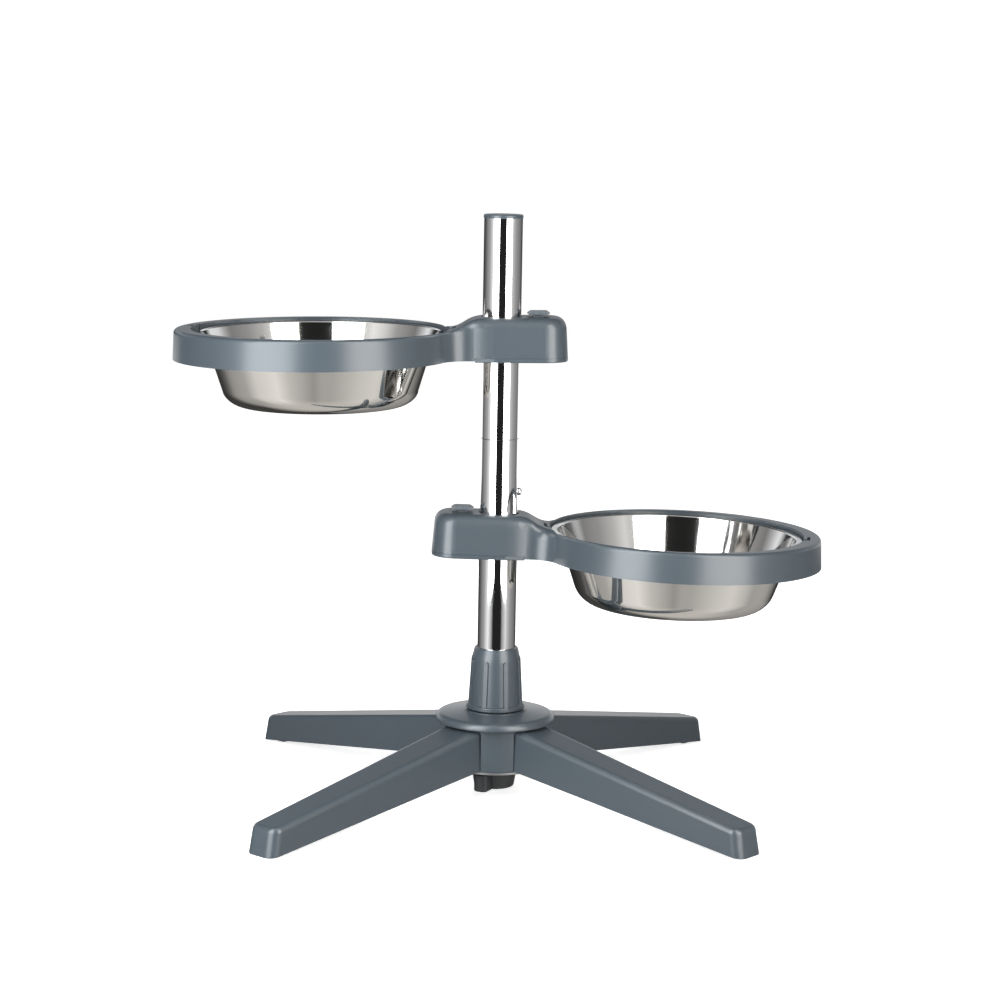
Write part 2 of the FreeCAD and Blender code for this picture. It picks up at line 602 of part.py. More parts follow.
def make_snap():
    """The ball and the bent leaf that pushes it out through the two tube walls."""
    ball_r = ball_diameter / 2
    ball_centre = pole_r + ball_out - ball_r
    leaf_face = joiner_r - joiner_wall - leaf_inset
    ball = add_body("snap_button")
    sketch = add_sketch(ball, "YZ_Plane", "shank", leaf_face)
    circle(sketch, 0.0, ball_height, ball_r)
    pad(ball, sketch, ball_centre - leaf_face)
    dome = add_sketch(ball, "XZ_Plane", "dome")
    half_circle(dome, ball_centre, ball_height, ball_r)
    feature = ball.newObject("PartDesign::Revolution", "snap_button_dome_turned")
    feature.Profile = dome
    feature.ReferenceAxis = (dome, ["Axis0"])
    feature.Angle = 360.0
    finish_feature(ball, feature, 1)
    leaf = add_body("snap_spring")
    sketch = add_sketch(leaf, "XZ_Plane", "bend")
    low = ball_height - ball_r - leaf_thick
    high = ball_height + leaf_length
    back = -leaf_face
    outline(sketch, [
        (leaf_face - leaf_thick, low), (leaf_face, low),
        (leaf_face, high - leaf_gap, leaf_thick * 6), (leaf_thick, high, leaf_thick * 3),
        (back, high - leaf_gap, leaf_thick * 6), (back, low),
        (back + leaf_thick, low), (back + leaf_thick, high - leaf_gap - leaf_thick / 2, leaf_thick * 5),
        (leaf_thick, high - leaf_thick * 1.4, leaf_thick * 2),
        (leaf_face - leaf_thick, high - leaf_gap - leaf_thick / 2, leaf_thick * 5)])
    pad(leaf, sketch, leaf_width, both=True)


def half_circle(sketch, x, y, radius):
    """A half disc on the +Y side of a line along X, with that line as its axis."""
    centre = Vector(float(x), float(y), 0)
    arc = sketch.addGeometry(Part.ArcOfCircle(Part.Circle(centre, Vector(0, 0, 1), float(radius)), 0, math.pi))
    reach = Vector(float(radius), 0, 0)
    line = sketch.addGeometry(Part.LineSegment(centre - reach, centre + reach))
    axis = sketch.addGeometry(Part.LineSegment(centre, centre + Vector(float(radius) * 2, 0, 0)), True)
    sketch.addConstraint(Sketcher.Constraint("Coincident", arc, 2, line, 1))
    sketch.addConstraint(Sketcher.Constraint("Coincident", arc, 1, line, 2))
    sketch.addConstraint(Sketcher.Constraint("PointOnObject", arc, 3, line))
    sketch.addConstraint(Sketcher.Constraint("Horizontal", line))
    tie_point(sketch, arc, 3, x, y)
    tie(sketch, "Radius", (arc,), radius)
    sketch.addConstraint(Sketcher.Constraint("Coincident", axis, 1, arc, 3))
    sketch.addConstraint(Sketcher.Constraint("Horizontal", axis))
    tie(sketch, "Distance", (axis,), radius * 2)


def leg_line(distance, mark_value, tip_value):
    """Straight change of a leg's size from the mark to the tip."""
    share = (distance - leg_mark) / (leg_tip - leg_mark)
    return mark_value + (tip_value - mark_value) * share


def leg_turn(index):
    """Direction of one leg, in degrees."""
    return base_turn + (index + 0.5) * Size(360.0, "360") / leg_count


def make_hub():
    """Domed disc, panels between the legs, a tube for the pole and a threaded neck."""
    tube_r = pole_r + slip
    neck_r = tube_r + neck_wall
    core_low = hub_panel_low
    floor_low = pole_bottom - plug_flange - hub_floor
    hub = lathe("hub", [[
        (stud_diameter / 2 + stud_gap, floor_low), (tube_r + hub_tube_wall, floor_low),
        (tube_r + hub_tube_wall, hub_rim_low), (hub_core_radius - hub_tube_wall, hub_rim_low),
        (hub_core_radius - hub_tube_wall, core_low), (hub_core_radius, core_low),
        (hub_core_radius, hub_rim_low, hub_flare), (hub_radius, hub_rim_low, hub_step),
        (hub_radius, hub_rim_low + hub_rim_height, hub_rim_round), (hub_step_radius, hub_crown),
        (hub_step_radius, hub_crown + hub_step), (neck_r, hub_crown + hub_step),
        (neck_r, neck_top), (tube_r, neck_top),
        (tube_r, floor_low + hub_floor), (stud_diameter / 2 + stud_gap, floor_low + hub_floor)]])
    web = add_sketch(hub, "XY_Plane", "web", core_low)
    inner = tube_r + hub_tube_wall / 2
    rectangle(web, inner, -hub_tube_wall / 2, hub_core_radius - hub_tube_wall / 2, hub_tube_wall / 2)
    turn_sketch(web, base_turn)
    web_pad = pad(hub, web, hub_rim_low - core_low)
    repeat_round(hub, web_pad, leg_count)
    for i in range(int(leg_count.number)):
        cut_leg_socket(hub, i)
    return hub


def cut_leg_socket(hub, index):
    """The way of one leg under the disc, with the leg's own rounded upper edges."""
    plane = add_sketch(hub, "XZ_Plane", "socket%d" % index)
    turn = leg_turn(index)
    half = leg_line(leg_root, leg_mark_width, leg_tip_width) / 2 + leg_gap
    top = hub_rim_low
    low = hub_panel_low - hub_floor
    edge = leg_edge + leg_gap
    outline(plane, [(-half, low), (half, low), (half, top, edge), (-half, top, edge)])
    plane.AttachmentOffset = Placement(Vector(0, 0, 0), Rotation(Vector(0, 1, 0), float(turn)))
    feature = hub.newObject("PartDesign::Pocket", plane.Name + "_pocket")
    feature.Profile = plane
    feature.setExpression("Length", (hub_radius * 2).text)
    feature.Reversed = False
    finish_feature(hub, feature, -1)


def shifted_sketch(body, plane, name, along, turn=0.0):
    """A sketch whose own origin lies some way along +X, on the XZ or the XY plane."""
    sketch = add_sketch(body, plane, name)
    sketch.AttachmentOffset = Placement(Vector(float(along), 0, 0), Rotation(Vector(0, 0, 1), float(turn)))
    sketch.setExpression("AttachmentOffset.Base.x", as_size(along).text)
    doc.recompute()
    return sketch


def make_collar():
    """Ribbed nut that squeezes a split ring on the pole."""
    neck_r = pole_r + slip + neck_wall
    squeeze_low = neck_top + face_gap
    collet_bore = pole_r + slip
    collet_top_r = collet_bore + collet_wall
    nut = lathe("collar_nut", [[
        (neck_r + collar_gap, collar_low), (collar_lip_radius, collar_low, collar_edge),
        (collar_lip_radius, collar_low + collar_lip, collar_edge), (collar_foot_radius, rib_low),
        (collar_waist_radius, collar_waist, collar_bend), (collar_top_radius, collar_top, collar_edge),
        (pole_r + collar_gap, collar_top), (pole_r + collar_gap, collet_top + face_gap),
        (collet_top_r + collar_gap, collet_top + face_gap), (neck_r + collar_gap, squeeze_low)]])
    rib = add_sketch(nut, "YZ_Plane", "rib", pole_r + slip + neck_wall + collar_gap + 0.6)
    half = rib_width / 2
    outline(rib, [(-half, rib_low - 0.6), (half, rib_low - 0.6), (half, rib_top, half * 0.98),
                  (-half, rib_top, half * 0.98)])
    first = pad(nut, rib, collar_lip_radius - pole_r)
    repeat_round(nut, first, rib_count)
    trim = add_sketch(nut, "XZ_Plane", "trim")
    outline(trim, [
        (collar_foot_radius + rib_proud, rib_low - 0.7), (collar_foot_radius + rib_proud, rib_low),
        (collar_waist_radius + rib_proud, collar_waist, collar_bend), (collar_waist_radius, collar_top + 1.0),
        (hub_radius, collar_top + 1.0), (hub_radius, rib_low - 0.7)])
    turned(nut, trim, cut=True)
    nut.Placement = Placement(Vector(0, 0, 0), Rotation(Vector(0, 0, 1), 180.0 / rib_count.number))
    collet = lathe("collet_ring", [[
        (collet_bore, squeeze_low), (neck_r, squeeze_low),
        (collet_top_r, collet_top), (collet_bore, collet_top)]])
    slot = add_sketch(collet, "XY_Plane", "slot", collet_top)
    rectangle(slot, 0.0, -collet_slot / 2, neck_r + collar_gap, collet_slot / 2)
    cut = pocket(collet, slot, (collet_top - squeeze_low) * 0.8)
    repeat_round(collet, cut, collet_slots)


def make_leg(label, number):
    """A tapered shell, open below, with cross ribs and a solid foot at its tip."""
    leg = add_body(label)
    hollow_start = leg_root + leg_wall
    hollow_end = leg_tip - leg_solid
    near_x, far_x = leg_root - past, leg_tip + past
    start = pad_proud - past
    plan = add_sketch(leg, "XY_Plane", "plan", start)
    root_half = leg_foot_half(leg_root, start)
    far_half = leg_foot_half(far_x, start)
    outline(plan, [(leg_root, -root_half), (far_x, -far_half), (far_x, far_half), (leg_root, root_half)])
    pad(leg, plan, leg_blank, taper=-leg_lean)
    under = add_sketch(leg, "XZ_Plane", "under")
    deep = -leg_mark_low
    outline(under, [(near_x, leg_line(near_x, leg_mark_low, pad_proud)),
                    (far_x, leg_line(far_x, leg_mark_low, pad_proud)), (far_x, deep), (near_x, deep)])
    pocket(leg, under, leg_mark_width * 2, both=True)
    over = add_sketch(leg, "XZ_Plane", "over")
    high = leg_mark_top + past * 3
    outline(over, [(near_x, leg_line(near_x, leg_mark_top, leg_tip_top)),
                   (far_x, leg_line(far_x, leg_mark_top, leg_tip_top)), (far_x, high), (near_x, high)])
    pocket(leg, over, leg_mark_width * 2, both=True)
    end = add_sketch(leg, "XZ_Plane", "end")
    lean = leg_tip_draft / (leg_tip_top - pad_proud)
    outline(end, [(leg_tip - (deep - pad_proud) * lean, deep), (leg_tip - (high - pad_proud) * lean, high),
                  (far_x + leg_solid, high), (far_x + leg_solid, deep)])
    pocket(leg, end, leg_mark_width * 2, both=True)
    upright = edges_where(leg, lambda e: e.BoundBox.ZLength > leg_tip_top.number / 2 and e.BoundBox.XMin > leg_tip.number / 2)
    soften(leg, upright, leg_corner, "tip_corners")
    top_rim = edges_where(leg, lambda e: is_top_rim(e))
    soften(leg, top_rim, leg_edge, "top_edges")
    inner = [leg_section(leg, "hollow_root", hollow_start, leg_wall, leg_edge - leg_wall),
             leg_section(leg, "hollow_tip", hollow_end, leg_wall, leg_edge - leg_wall)]
    loft(leg, inner, True)
    for i in range(int(leg_ribs.number)):
        at = hollow_start + (hollow_end - hollow_start) * (i + 1) / (leg_ribs + 1)
        sketch = add_sketch(leg, "YZ_Plane", "rib%d" % i, at)
        half = leg_line(at, leg_mark_width, leg_tip_width) / 2 - leg_wall
        top = leg_line(at, leg_mark_top, leg_tip_top) - leg_wall / 2
        low = leg_line(at, leg_mark_low, pad_proud) + leg_rib_back
        rectangle(sketch, -half, low, half, top)
        pad(leg, sketch, leg_rib, both=True)
    seat = add_sketch(leg, "XZ_Plane", "seat")
    top = hub_rim_low - leg_seat
    outline(seat, [(leg_root - past, top), (leg_mark, top), (leg_mark, leg_mark_top + past),
                   (leg_root - past, leg_mark_top + past)])
    pocket(leg, seat, leg_mark_width * 2, both=True)
    pad_seat = add_sketch(leg, "XY_Plane", "pad_seat")
    middle = leg_tip - leg_solid / 2
    rectangle(pad_seat, middle - pad_length / 2 - slip, -pad_width / 2 - slip,
              middle + pad_length / 2 + slip, pad_width / 2 + slip, leg_wall)
    pocket(leg, pad_seat, pad_height, reverse=True)
    leg.Placement = Placement(Vector(0, 0, 0), Rotation(Vector(0, 0, 1), leg_turn(number).number))
    return leg


def leg_foot_half(at, height):
    """Half width that the leg's leaning sides have at a height below its underside."""
    low = leg_line(at, leg_mark_low, pad_proud) - height
    return leg_line(at, leg_mark_width, leg_tip_width) / 2 + low * sine(leg_lean) / cosine(leg_lean)


def is_top_rim(edge):
    """True for the upper edges along a leg and round its tip, false across its root."""
    box = edge.BoundBox
    return box.ZMin > leg_tip_top.number - leg_tip_draft.number and box.XMax > leg_mark.number


def leg_section(leg, name, at, inset, rounding=None):
    """The leg's cross-section at a distance from the pole axis, set in by a wall."""
    sketch = add_sketch(leg, "YZ_Plane", name, at)
    low = leg_line(at, leg_mark_low, pad_proud)
    top = leg_line(at, leg_mark_top, leg_tip_top) - inset
    below = low - inset
    half_low = leg_line(at, leg_mark_width, leg_tip_width) / 2 - inset
    half_top = half_low - (top - below) * sine(leg_lean) / cosine(leg_lean)
    corners = [(-half_low, below), (half_low, below), (half_top, top), (-half_top, top)]
    if rounding is not None:
        corners[2:] = [(x, y, rounding) for x, y in corners[2:]]
    outline(sketch, corners)
    return sketch


def loft(body, sketches, cut):
    """A straight loft between two sections."""
    kind = "PartDesign::SubtractiveLoft" if cut else "PartDesign::AdditiveLoft"
    feature = body.newObject(kind, sketches[0].Name + "_loft")
    feature.Profile = sketches[0]
    feature.Sections = sketches[1:]
    feature.Ruled = True
    return finish_feature(body, feature, -1 if cut else 1)


def make_foot_pad(label, number):
    """A rubber pad pressed into the underside of a leg's tip."""
    foot = add_body(label)
    sketch = add_sketch(foot, "XY_Plane", "plan")
    middle = leg_tip - leg_solid / 2
    half = pad_length / 2
    rectangle(sketch, middle - half, -pad_width / 2, middle + half, pad_width / 2, leg_wall - slip)
    pad(foot, sketch, pad_height - slip)
    foot.Placement = Placement(Vector(0, 0, 0), Rotation(Vector(0, 0, 1), leg_turn(number).number))


def make_clamp():
    """Plate that traps the legs, the winged knob below it, and the knob's stud."""
    clamp_top = leg_line(clamp_radius, leg_mark_low, pad_proud) - face_gap
    clamp_low = clamp_top - clamp_thick
    bore = stud_diameter / 2 + stud_gap
    plate = lathe("leg_clamp_plate", [[
        (bore, clamp_low), (clamp_radius, clamp_low, clamp_edge), (clamp_radius, clamp_top), (bore, clamp_top)]])
    lug = add_sketch(plate, "XY_Plane", "lug", clamp_top)
    start = leg_root + leg_wall + lug_gap
    rectangle(lug, start, -lug_width / 2, start + lug_thick, lug_width / 2, lug_round)
    turn_sketch(lug, leg_turn(0))
    repeat_round(plate, pad(plate, lug, lug_height), leg_count)
    knob_top = clamp_low - face_gap
    knob = add_body("wing_knob")
    wing = add_sketch(knob, "XY_Plane", "wing", knob_low)
    half = knob_wing / 2
    reach = knob_span / 2
    rectangle(wing, -reach, -half, reach, half, knob_corner)
    turn_sketch(wing, knob_turn)
    pad(knob, wing, knob_wing_top - knob_low)
    rim = edges_where(knob, lambda e: near(e.BoundBox.ZMin, e.BoundBox.ZMax))
    soften(knob, rim, knob_round, "wing_edges")
    boss = add_sketch(knob, "XZ_Plane", "boss")
    stud_bore = stud_diameter / 2 + slip
    outline(boss, [(0.0, knob_low), (knob_foot_radius, knob_low, knob_round),
                   (knob_hub_radius, knob_top, knob_round), (0.0, knob_top)])
    turned(knob, boss)
    head = add_sketch(knob, "XY_Plane", "head_recess", knob_low)
    hexagon(head, nut_flats + slip * 2)
    pocket(knob, head, bolt_head + head_sunk * 2, reverse=True)
    stud_hole = add_sketch(knob, "XY_Plane", "stud_hole", knob_top)
    circle(stud_hole, 0.0, 0.0, stud_bore)
    pocket(knob, stud_hole, knob_top - knob_low)
    stud = add_body("knob_stud")
    sketch = add_sketch(stud, "XY_Plane", "head", knob_low + head_sunk)
    hexagon(sketch, nut_flats)
    pad(stud, sketch, bolt_head)
    sketch = add_sketch(stud, "XY_Plane", "shank", knob_low + head_sunk)
    circle(sketch, 0.0, 0.0, stud_diameter / 2)
    pad(stud, sketch, stud_top - knob_low)


sides = {
    "upper": (upper_height, upper_turn, upper_droop),
    "lower": (lower_height, lower_turn, lower_droop),
}


def on_holder(body, side, upright=False):
    """Place a piece that was drawn in the holder's own frame."""
    height, turn, droop = sides[side]
    tilt = 0.0 if upright else droop.number
    body.Placement = Placement(Vector(0, 0, height.number), Rotation(turn.number, tilt, 0))


def holder_plan(sketch):
    """Plan of the arm: block, shoulders, necks and ring in one smooth outline."""
    w, e, c = block_half.number, block_end.number, block_corner.number
    s, r = shoulder_start.number, shoulder_radius.number
    sweep = math.radians(shoulder_sweep.number)
    ring = Vector(ring_reach.number, 0, 0)
    big = ring_radius.number
    last = {}
    for mirror in (1, -1):
        first = Vector(s, mirror * w, 0)
        middle = Vector(s, mirror * (w - r), 0)
        heading = Vector(math.sin(sweep), mirror * math.cos(sweep), 0)
        shoulder_end = middle + heading * r
        reach = shoulder_end - ring
        neck = (reach.Length ** 2 - big ** 2) / (2 * (big - reach.dot(heading)))
        neck_middle = shoulder_end + heading * neck
        touch = ring + (neck_middle - ring).normalize() * big
        corner = Vector(-e + c, mirror * (w - c), 0)
        side = sketch.addGeometry(Part.LineSegment(Vector(-e + c, mirror * w, 0), first))
        shoulder = add_arc(sketch, middle, r, first, shoulder_end)
        hollow = add_arc(sketch, neck_middle, neck, shoulder_end, touch)
        bend = add_arc(sketch, corner, c, Vector(-e, mirror * (w - c), 0), Vector(-e + c, mirror * w, 0))
        last[mirror] = (side, shoulder, hollow, bend, touch)
    end = sketch.addGeometry(Part.LineSegment(Vector(-e, c - w, 0), Vector(-e, w - c, 0)))
    rim = add_arc(sketch, ring, big, last[-1][4], last[1][4], forward=True)
    tie_point(sketch, rim, 3, ring_reach, 0.0)
    tie(sketch, "Radius", (rim,), ring_radius)
    sketch.addConstraint(Sketcher.Constraint("Vertical", end))
    for mirror in (1, -1):
        side, shoulder, hollow, bend, touch = last[mirror]
        start, stop = (1, 2) if mirror < 0 else (2, 1)
        sketch.addConstraint(Sketcher.Constraint("Tangent", end, 2 if mirror > 0 else 1, bend, start))
        sketch.addConstraint(Sketcher.Constraint("Tangent", bend, stop, side, 1))
        sketch.addConstraint(Sketcher.Constraint("Tangent", side, 2, shoulder, start))
        sketch.addConstraint(Sketcher.Constraint("Tangent", shoulder, stop, hollow, stop))
        sketch.addConstraint(Sketcher.Constraint("Tangent", hollow, start, rim, 2 if mirror > 0 else 1))
        sketch.addConstraint(Sketcher.Constraint("Horizontal", side))
        tie(sketch, "Radius", (bend,), block_corner)
        tie(sketch, "Radius", (shoulder,), shoulder_radius)
        tie(sketch, "Angle", (shoulder,), shoulder_sweep)
        tie_point(sketch, side, 2, shoulder_start, block_half * mirror)
    tie(sketch, "DistanceX", (-1, 1, end, 1), -block_end)


def add_arc(sketch, middle, radius, one, other, forward=None):
    """The short arc between two points, or the one that runs forward from the first."""
    curve = Part.Circle(middle, Vector(0, 0, 1), radius)
    low, high = curve.parameter(one), curve.parameter(other)
    if forward is None:
        forward = (high - low) % (2 * math.pi) < math.pi
    if not forward:
        low, high = high, low
    return sketch.addGeometry(Part.ArcOfCircle(curve, low, high))


def rim_ledge():
    """Height of the ledge that carries the bowl's hem, over the ring's top plane."""
    return -(bowl_rim_drop + bowl_hem + bowl_gap)


def make_holder_form(side):
    """The arm's outer form with its rounded upper edge, before it is hollowed."""
    form = add_body(side + "_holder_form", kept=False)
    plan = add_sketch(form, "XY_Plane", "plan", -ring_height)
    holder_plan(plan)
    pad(form, plan, ring_height + block_rise * 2, taper=-holder_draft)
    fall = add_sketch(form, "XZ_Plane", "fall")
    far = ring_reach + ring_radius * 2
    high = block_rise * 3
    outline(fall, [(-block_end * 2, block_rise), (slope_start, block_rise, slope_round),
                   (slope_end, 0.0, slope_round), (far, 0.0), (far, high), (-block_end * 2, high)])
    pocket(form, fall, ring_radius * 4, both=True)
    edges = []
    for i, edge in enumerate(form.Shape.Edges):
        box = edge.BoundBox
        level = box.ZMin > -1.0
        across = box.XLength < 0.01 and box.XMin > -block_end.number / 2
        if level and not across:
            edges.append((i + 1, edge_radius(edge, True), edge_radius(edge, False)))
    rounded = doc.addObject("Part::Fillet", side + "_holder_rounded")
    rounded.Base = form
    rounded.Edges = edges
    doc.recompute()
    return rounded


def edge_radius(edge, first):
    """Rounding at an edge's end: large on the block, small on the ring, eased along the fall."""
    spot = edge.Vertexes[0 if first else -1].Point
    share = (spot.x - slope_start.number) / (slope_end.number - slope_start.number)
    share = min(1.0, max(0.0, share))
    return block_edge.number + (ring_edge.number - block_edge.number) * share


def holder_wall():
    """Wall of the block at its foot, so that it is still thick enough where the sides lean in."""
    return mould_wall + ring_height * tangent(holder_draft)


def make_holder(side):
    """Moulded arm: block with the lock, neck, and the ring that carries a bowl."""
    rounded = make_holder_form(side)
    body = add_body(side + "_holder_body")
    body.BaseFeature = rounded
    doc.recompute()
    ledge = rim_ledge()
    roof = block_rise - mould_wall
    low = -ring_height
    channel = add_sketch(body, "XY_Plane", "channel", low)
    circle(channel, ring_reach, 0.0, ring_radius - mould_wall)
    circle(channel, bowl_reach, 0.0, ledge_inner + mould_wall)
    pocket(body, channel, ring_height + ledge - ledge_web, reverse=True)
    rib = shifted_sketch(body, "XY_Plane", "rib", ring_reach)
    rib.setExpression("AttachmentOffset.Base.z", (low + ring_rib_back).text)
    doc.recompute()
    rectangle(rib, ring_radius * 0.8, -ring_rib / 2, ring_radius - mould_wall / 2, ring_rib / 2)
    first = pad(body, rib, ring_height + ledge - ledge_web - ring_rib_back + overlap)
    ribs = body.newObject("PartDesign::PolarPattern", rib.Name + "_round")
    ribs.Originals = [first]
    ribs.Axis = (rib, ["N_Axis"])
    ribs.Angle = 360.0
    ribs.setExpression("Occurrences", ring_ribs.text)
    body.Tip = ribs
    doc.recompute()
    mouth = add_sketch(body, "XY_Plane", "mouth", block_rise)
    circle(mouth, bowl_reach, 0.0, ledge_inner)
    pocket(body, mouth, ring_height + block_rise * 2)
    recess = add_sketch(body, "XY_Plane", "recess", block_rise)
    circle(recess, bowl_reach, 0.0, bowl_rim_radius + recess_gap)
    pocket(body, recess, block_rise - ledge)
    inner = block_half - holder_wall()
    steps = (("cavity", as_size(0.0), roof - cavity_shelf), ("roof_cavity", cavity_shelf, roof))
    for name, inset, top in steps:
        hollow = add_sketch(body, "XY_Plane", name, low)
        half = inner - inset
        end = holder_wall() + inset - block_end
        corner = block_corner - holder_wall() - inset
        outline(hollow, [(end, -half, corner), (cavity_step, -half), (cavity_step, half), (end, half, corner)])
        pocket(body, hollow, ring_height + top, reverse=True)
    front = add_sketch(body, "XY_Plane", "front_cavity", low)
    front_half = inner - front_inset
    rectangle(front, 0.0, -front_half, cavity_end, front_half)
    pocket(body, front, ring_height + cavity_low_roof, reverse=True)
    cover_cut = add_sketch(body, "XY_Plane", "cover_seat", low)
    wide = block_half + past
    rectangle(cover_cut, -block_end - past, -wide, cover_end + cover_gap, wide)
    pocket(body, cover_cut, cover_thick + cover_gap, reverse=True)
    tongue = add_sketch(body, "XY_Plane", "tongue_seat", low)
    rectangle(tongue, cover_end, -tongue_half - cover_gap, tongue_end + cover_gap, tongue_half + cover_gap)
    pocket(body, tongue, cover_thick + cover_gap, reverse=True)
    floor = low + cover_thick + cover_gap
    bosses = add_sketch(body, "XY_Plane", "bosses", floor)
    for sign in (1, -1):
        circle(bosses, -screw_back, screw_side * sign, boss_radius)
    pad(body, bosses, roof - cavity_shelf - floor + mould_wall / 2)
    fulcrum_low = -plate_depth - plate_pivot * sine(plate_tilt) + plate_thick / 2 + face_gap
    fulcrum = add_sketch(body, "XY_Plane", "fulcrum", fulcrum_low)
    rib_half = front_half + overlap
    rectangle(fulcrum, plate_pivot - fulcrum_thick / 2, -rib_half, plate_pivot + fulcrum_thick / 2, rib_half)
    pad(body, fulcrum, cavity_low_roof - fulcrum_low + overlap)
    ledge_top = fulcrum_low - plate_thick - face_gap * 4
    rest = add_sketch(body, "XY_Plane", "pivot_ledge", floor)
    rectangle(rest, cavity_end - ledge_back, -ledge_half, cavity_end + overlap, ledge_half)
    pad(body, rest, ledge_top - floor)
    screw_holes = add_sketch(body, "XY_Plane", "screw_holes", floor)
    for sign in (1, -1):
        circle(screw_holes, -screw_back, screw_side * sign, screw_diameter / 2 + screw_gap)
    circle(screw_holes, screw_front, 0.0, screw_diameter / 2 + screw_gap)
    pocket(body, screw_holes, screw_length, reverse=True)
    bore = add_sketch(body, "XY_Plane", "pole_bore", block_rise + overlap)
    circle(bore, 0.0, 0.0, pole_r + pole_hole)
    pocket(body, bore, ring_height + block_rise + overlap * 2)
    window = add_sketch(body, "XY_Plane", "button_hole", block_rise + overlap)
    rectangle(window, -button_reach - stem_length / 2 - stem_gap, -stem_width / 2 - stem_gap,
              -button_reach + stem_length / 2 + stem_gap, stem_width / 2 + stem_gap)
    pocket(body, window, mould_wall + overlap * 2)
    for name, turn in (("outer_finger", -finger_turn.number), ("arm_finger", 180.0)):
        make_finger(body, name, turn)
    on_holder(body, side)


def make_finger(body, name, turn):
    """A sprung finger in a window of the ring's wall, beside the bowl's rim."""
    inner = bowl_rim_radius + recess_gap
    half = finger_width / 2
    gap = shifted_sketch(body, "XY_Plane", name + "_window", bowl_reach, turn)
    gap.setExpression("AttachmentOffset.Base.z", block_rise.text)
    doc.recompute()
    side = half + finger_slot
    rectangle(gap, inner - overlap, -side, inner + finger_thick + finger_slot, side)
    pocket(body, gap, block_rise - rim_ledge())
    blade = shifted_sketch(body, "XY_Plane", name + "_blade", bowl_reach, turn)
    blade.setExpression("AttachmentOffset.Base.z", (rim_ledge() - ledge_web / 2).text)
    doc.recompute()
    rectangle(blade, inner - finger_nose, -half, inner - finger_nose + finger_thick, half, finger_round)
    pad(body, blade, finger_rise - rim_ledge() + ledge_web / 2)


def make_cover(side):
    """Plate that closes the block from below, with a seat for the spring, and its screws."""
    cover = add_body(side + "_lock_cover")
    low = -(ring_height + cover_drop)
    plan = add_sketch(cover, "XY_Plane", "plan", low)
    outline(plan, [
        (-block_end, -block_half, block_corner), (shoulder_start, -block_half), (cover_end, -cover_end_half),
        (cover_end, -tongue_half), (tongue_end, -tongue_half), (tongue_end, tongue_half),
        (cover_end, tongue_half), (cover_end, cover_end_half), (shoulder_start, block_half),
        (-block_end, block_half, block_corner)])
    pad(cover, plan, cover_thick + cover_drop)
    soften(cover, edges_where(cover, lambda e: near(e.BoundBox.ZMax, low.number)), cover_edge, "lower_edge")
    hole = add_sketch(cover, "XY_Plane", "holes", -ring_height + cover_thick)
    circle(hole, 0.0, 0.0, pole_r + bush_slip + bush_wall + bush_play)
    for x, y in screw_places():
        circle(hole, x, y, screw_diameter / 2 + screw_gap)
    pocket(cover, hole, cover_thick + cover_drop)
    sinks = add_sketch(cover, "XY_Plane", "sinks", low)
    for x, y in screw_places():
        circle(sinks, x, y, screw_head / 2 + screw_gap * 2)
    pocket(cover, sinks, screw_sink + cover_drop, reverse=True)
    seat = add_sketch(cover, "XY_Plane", "spring_seat", -ring_height + cover_thick)
    circle(seat, -button_reach, 0.0, spring_radius + spring_wire + seat_wall)
    circle(seat, -button_reach, 0.0, spring_radius + spring_wire)
    pad(cover, seat, seat_height)
    on_holder(cover, side)
    screws = add_body(side + "_cover_screws")
    shanks = add_sketch(screws, "XY_Plane", "shanks", -ring_height + head_sunk)
    heads = add_sketch(screws, "XY_Plane", "heads", -ring_height + head_sunk)
    for x, y in screw_places():
        circle(shanks, x, y, screw_diameter / 2)
        circle(heads, x, y, screw_head / 2)
    screws.AllowCompound = True
    pad(screws, shanks, screw_length + cover_thick - screw_room)
    pad(screws, heads, screw_sink - head_sunk * 2)
    on_holder(screws, side)


def screw_places():
    """Where the three cover screws sit."""
    return [(-screw_back, screw_side), (-screw_back, -screw_side), (screw_front, as_size(0.0))]


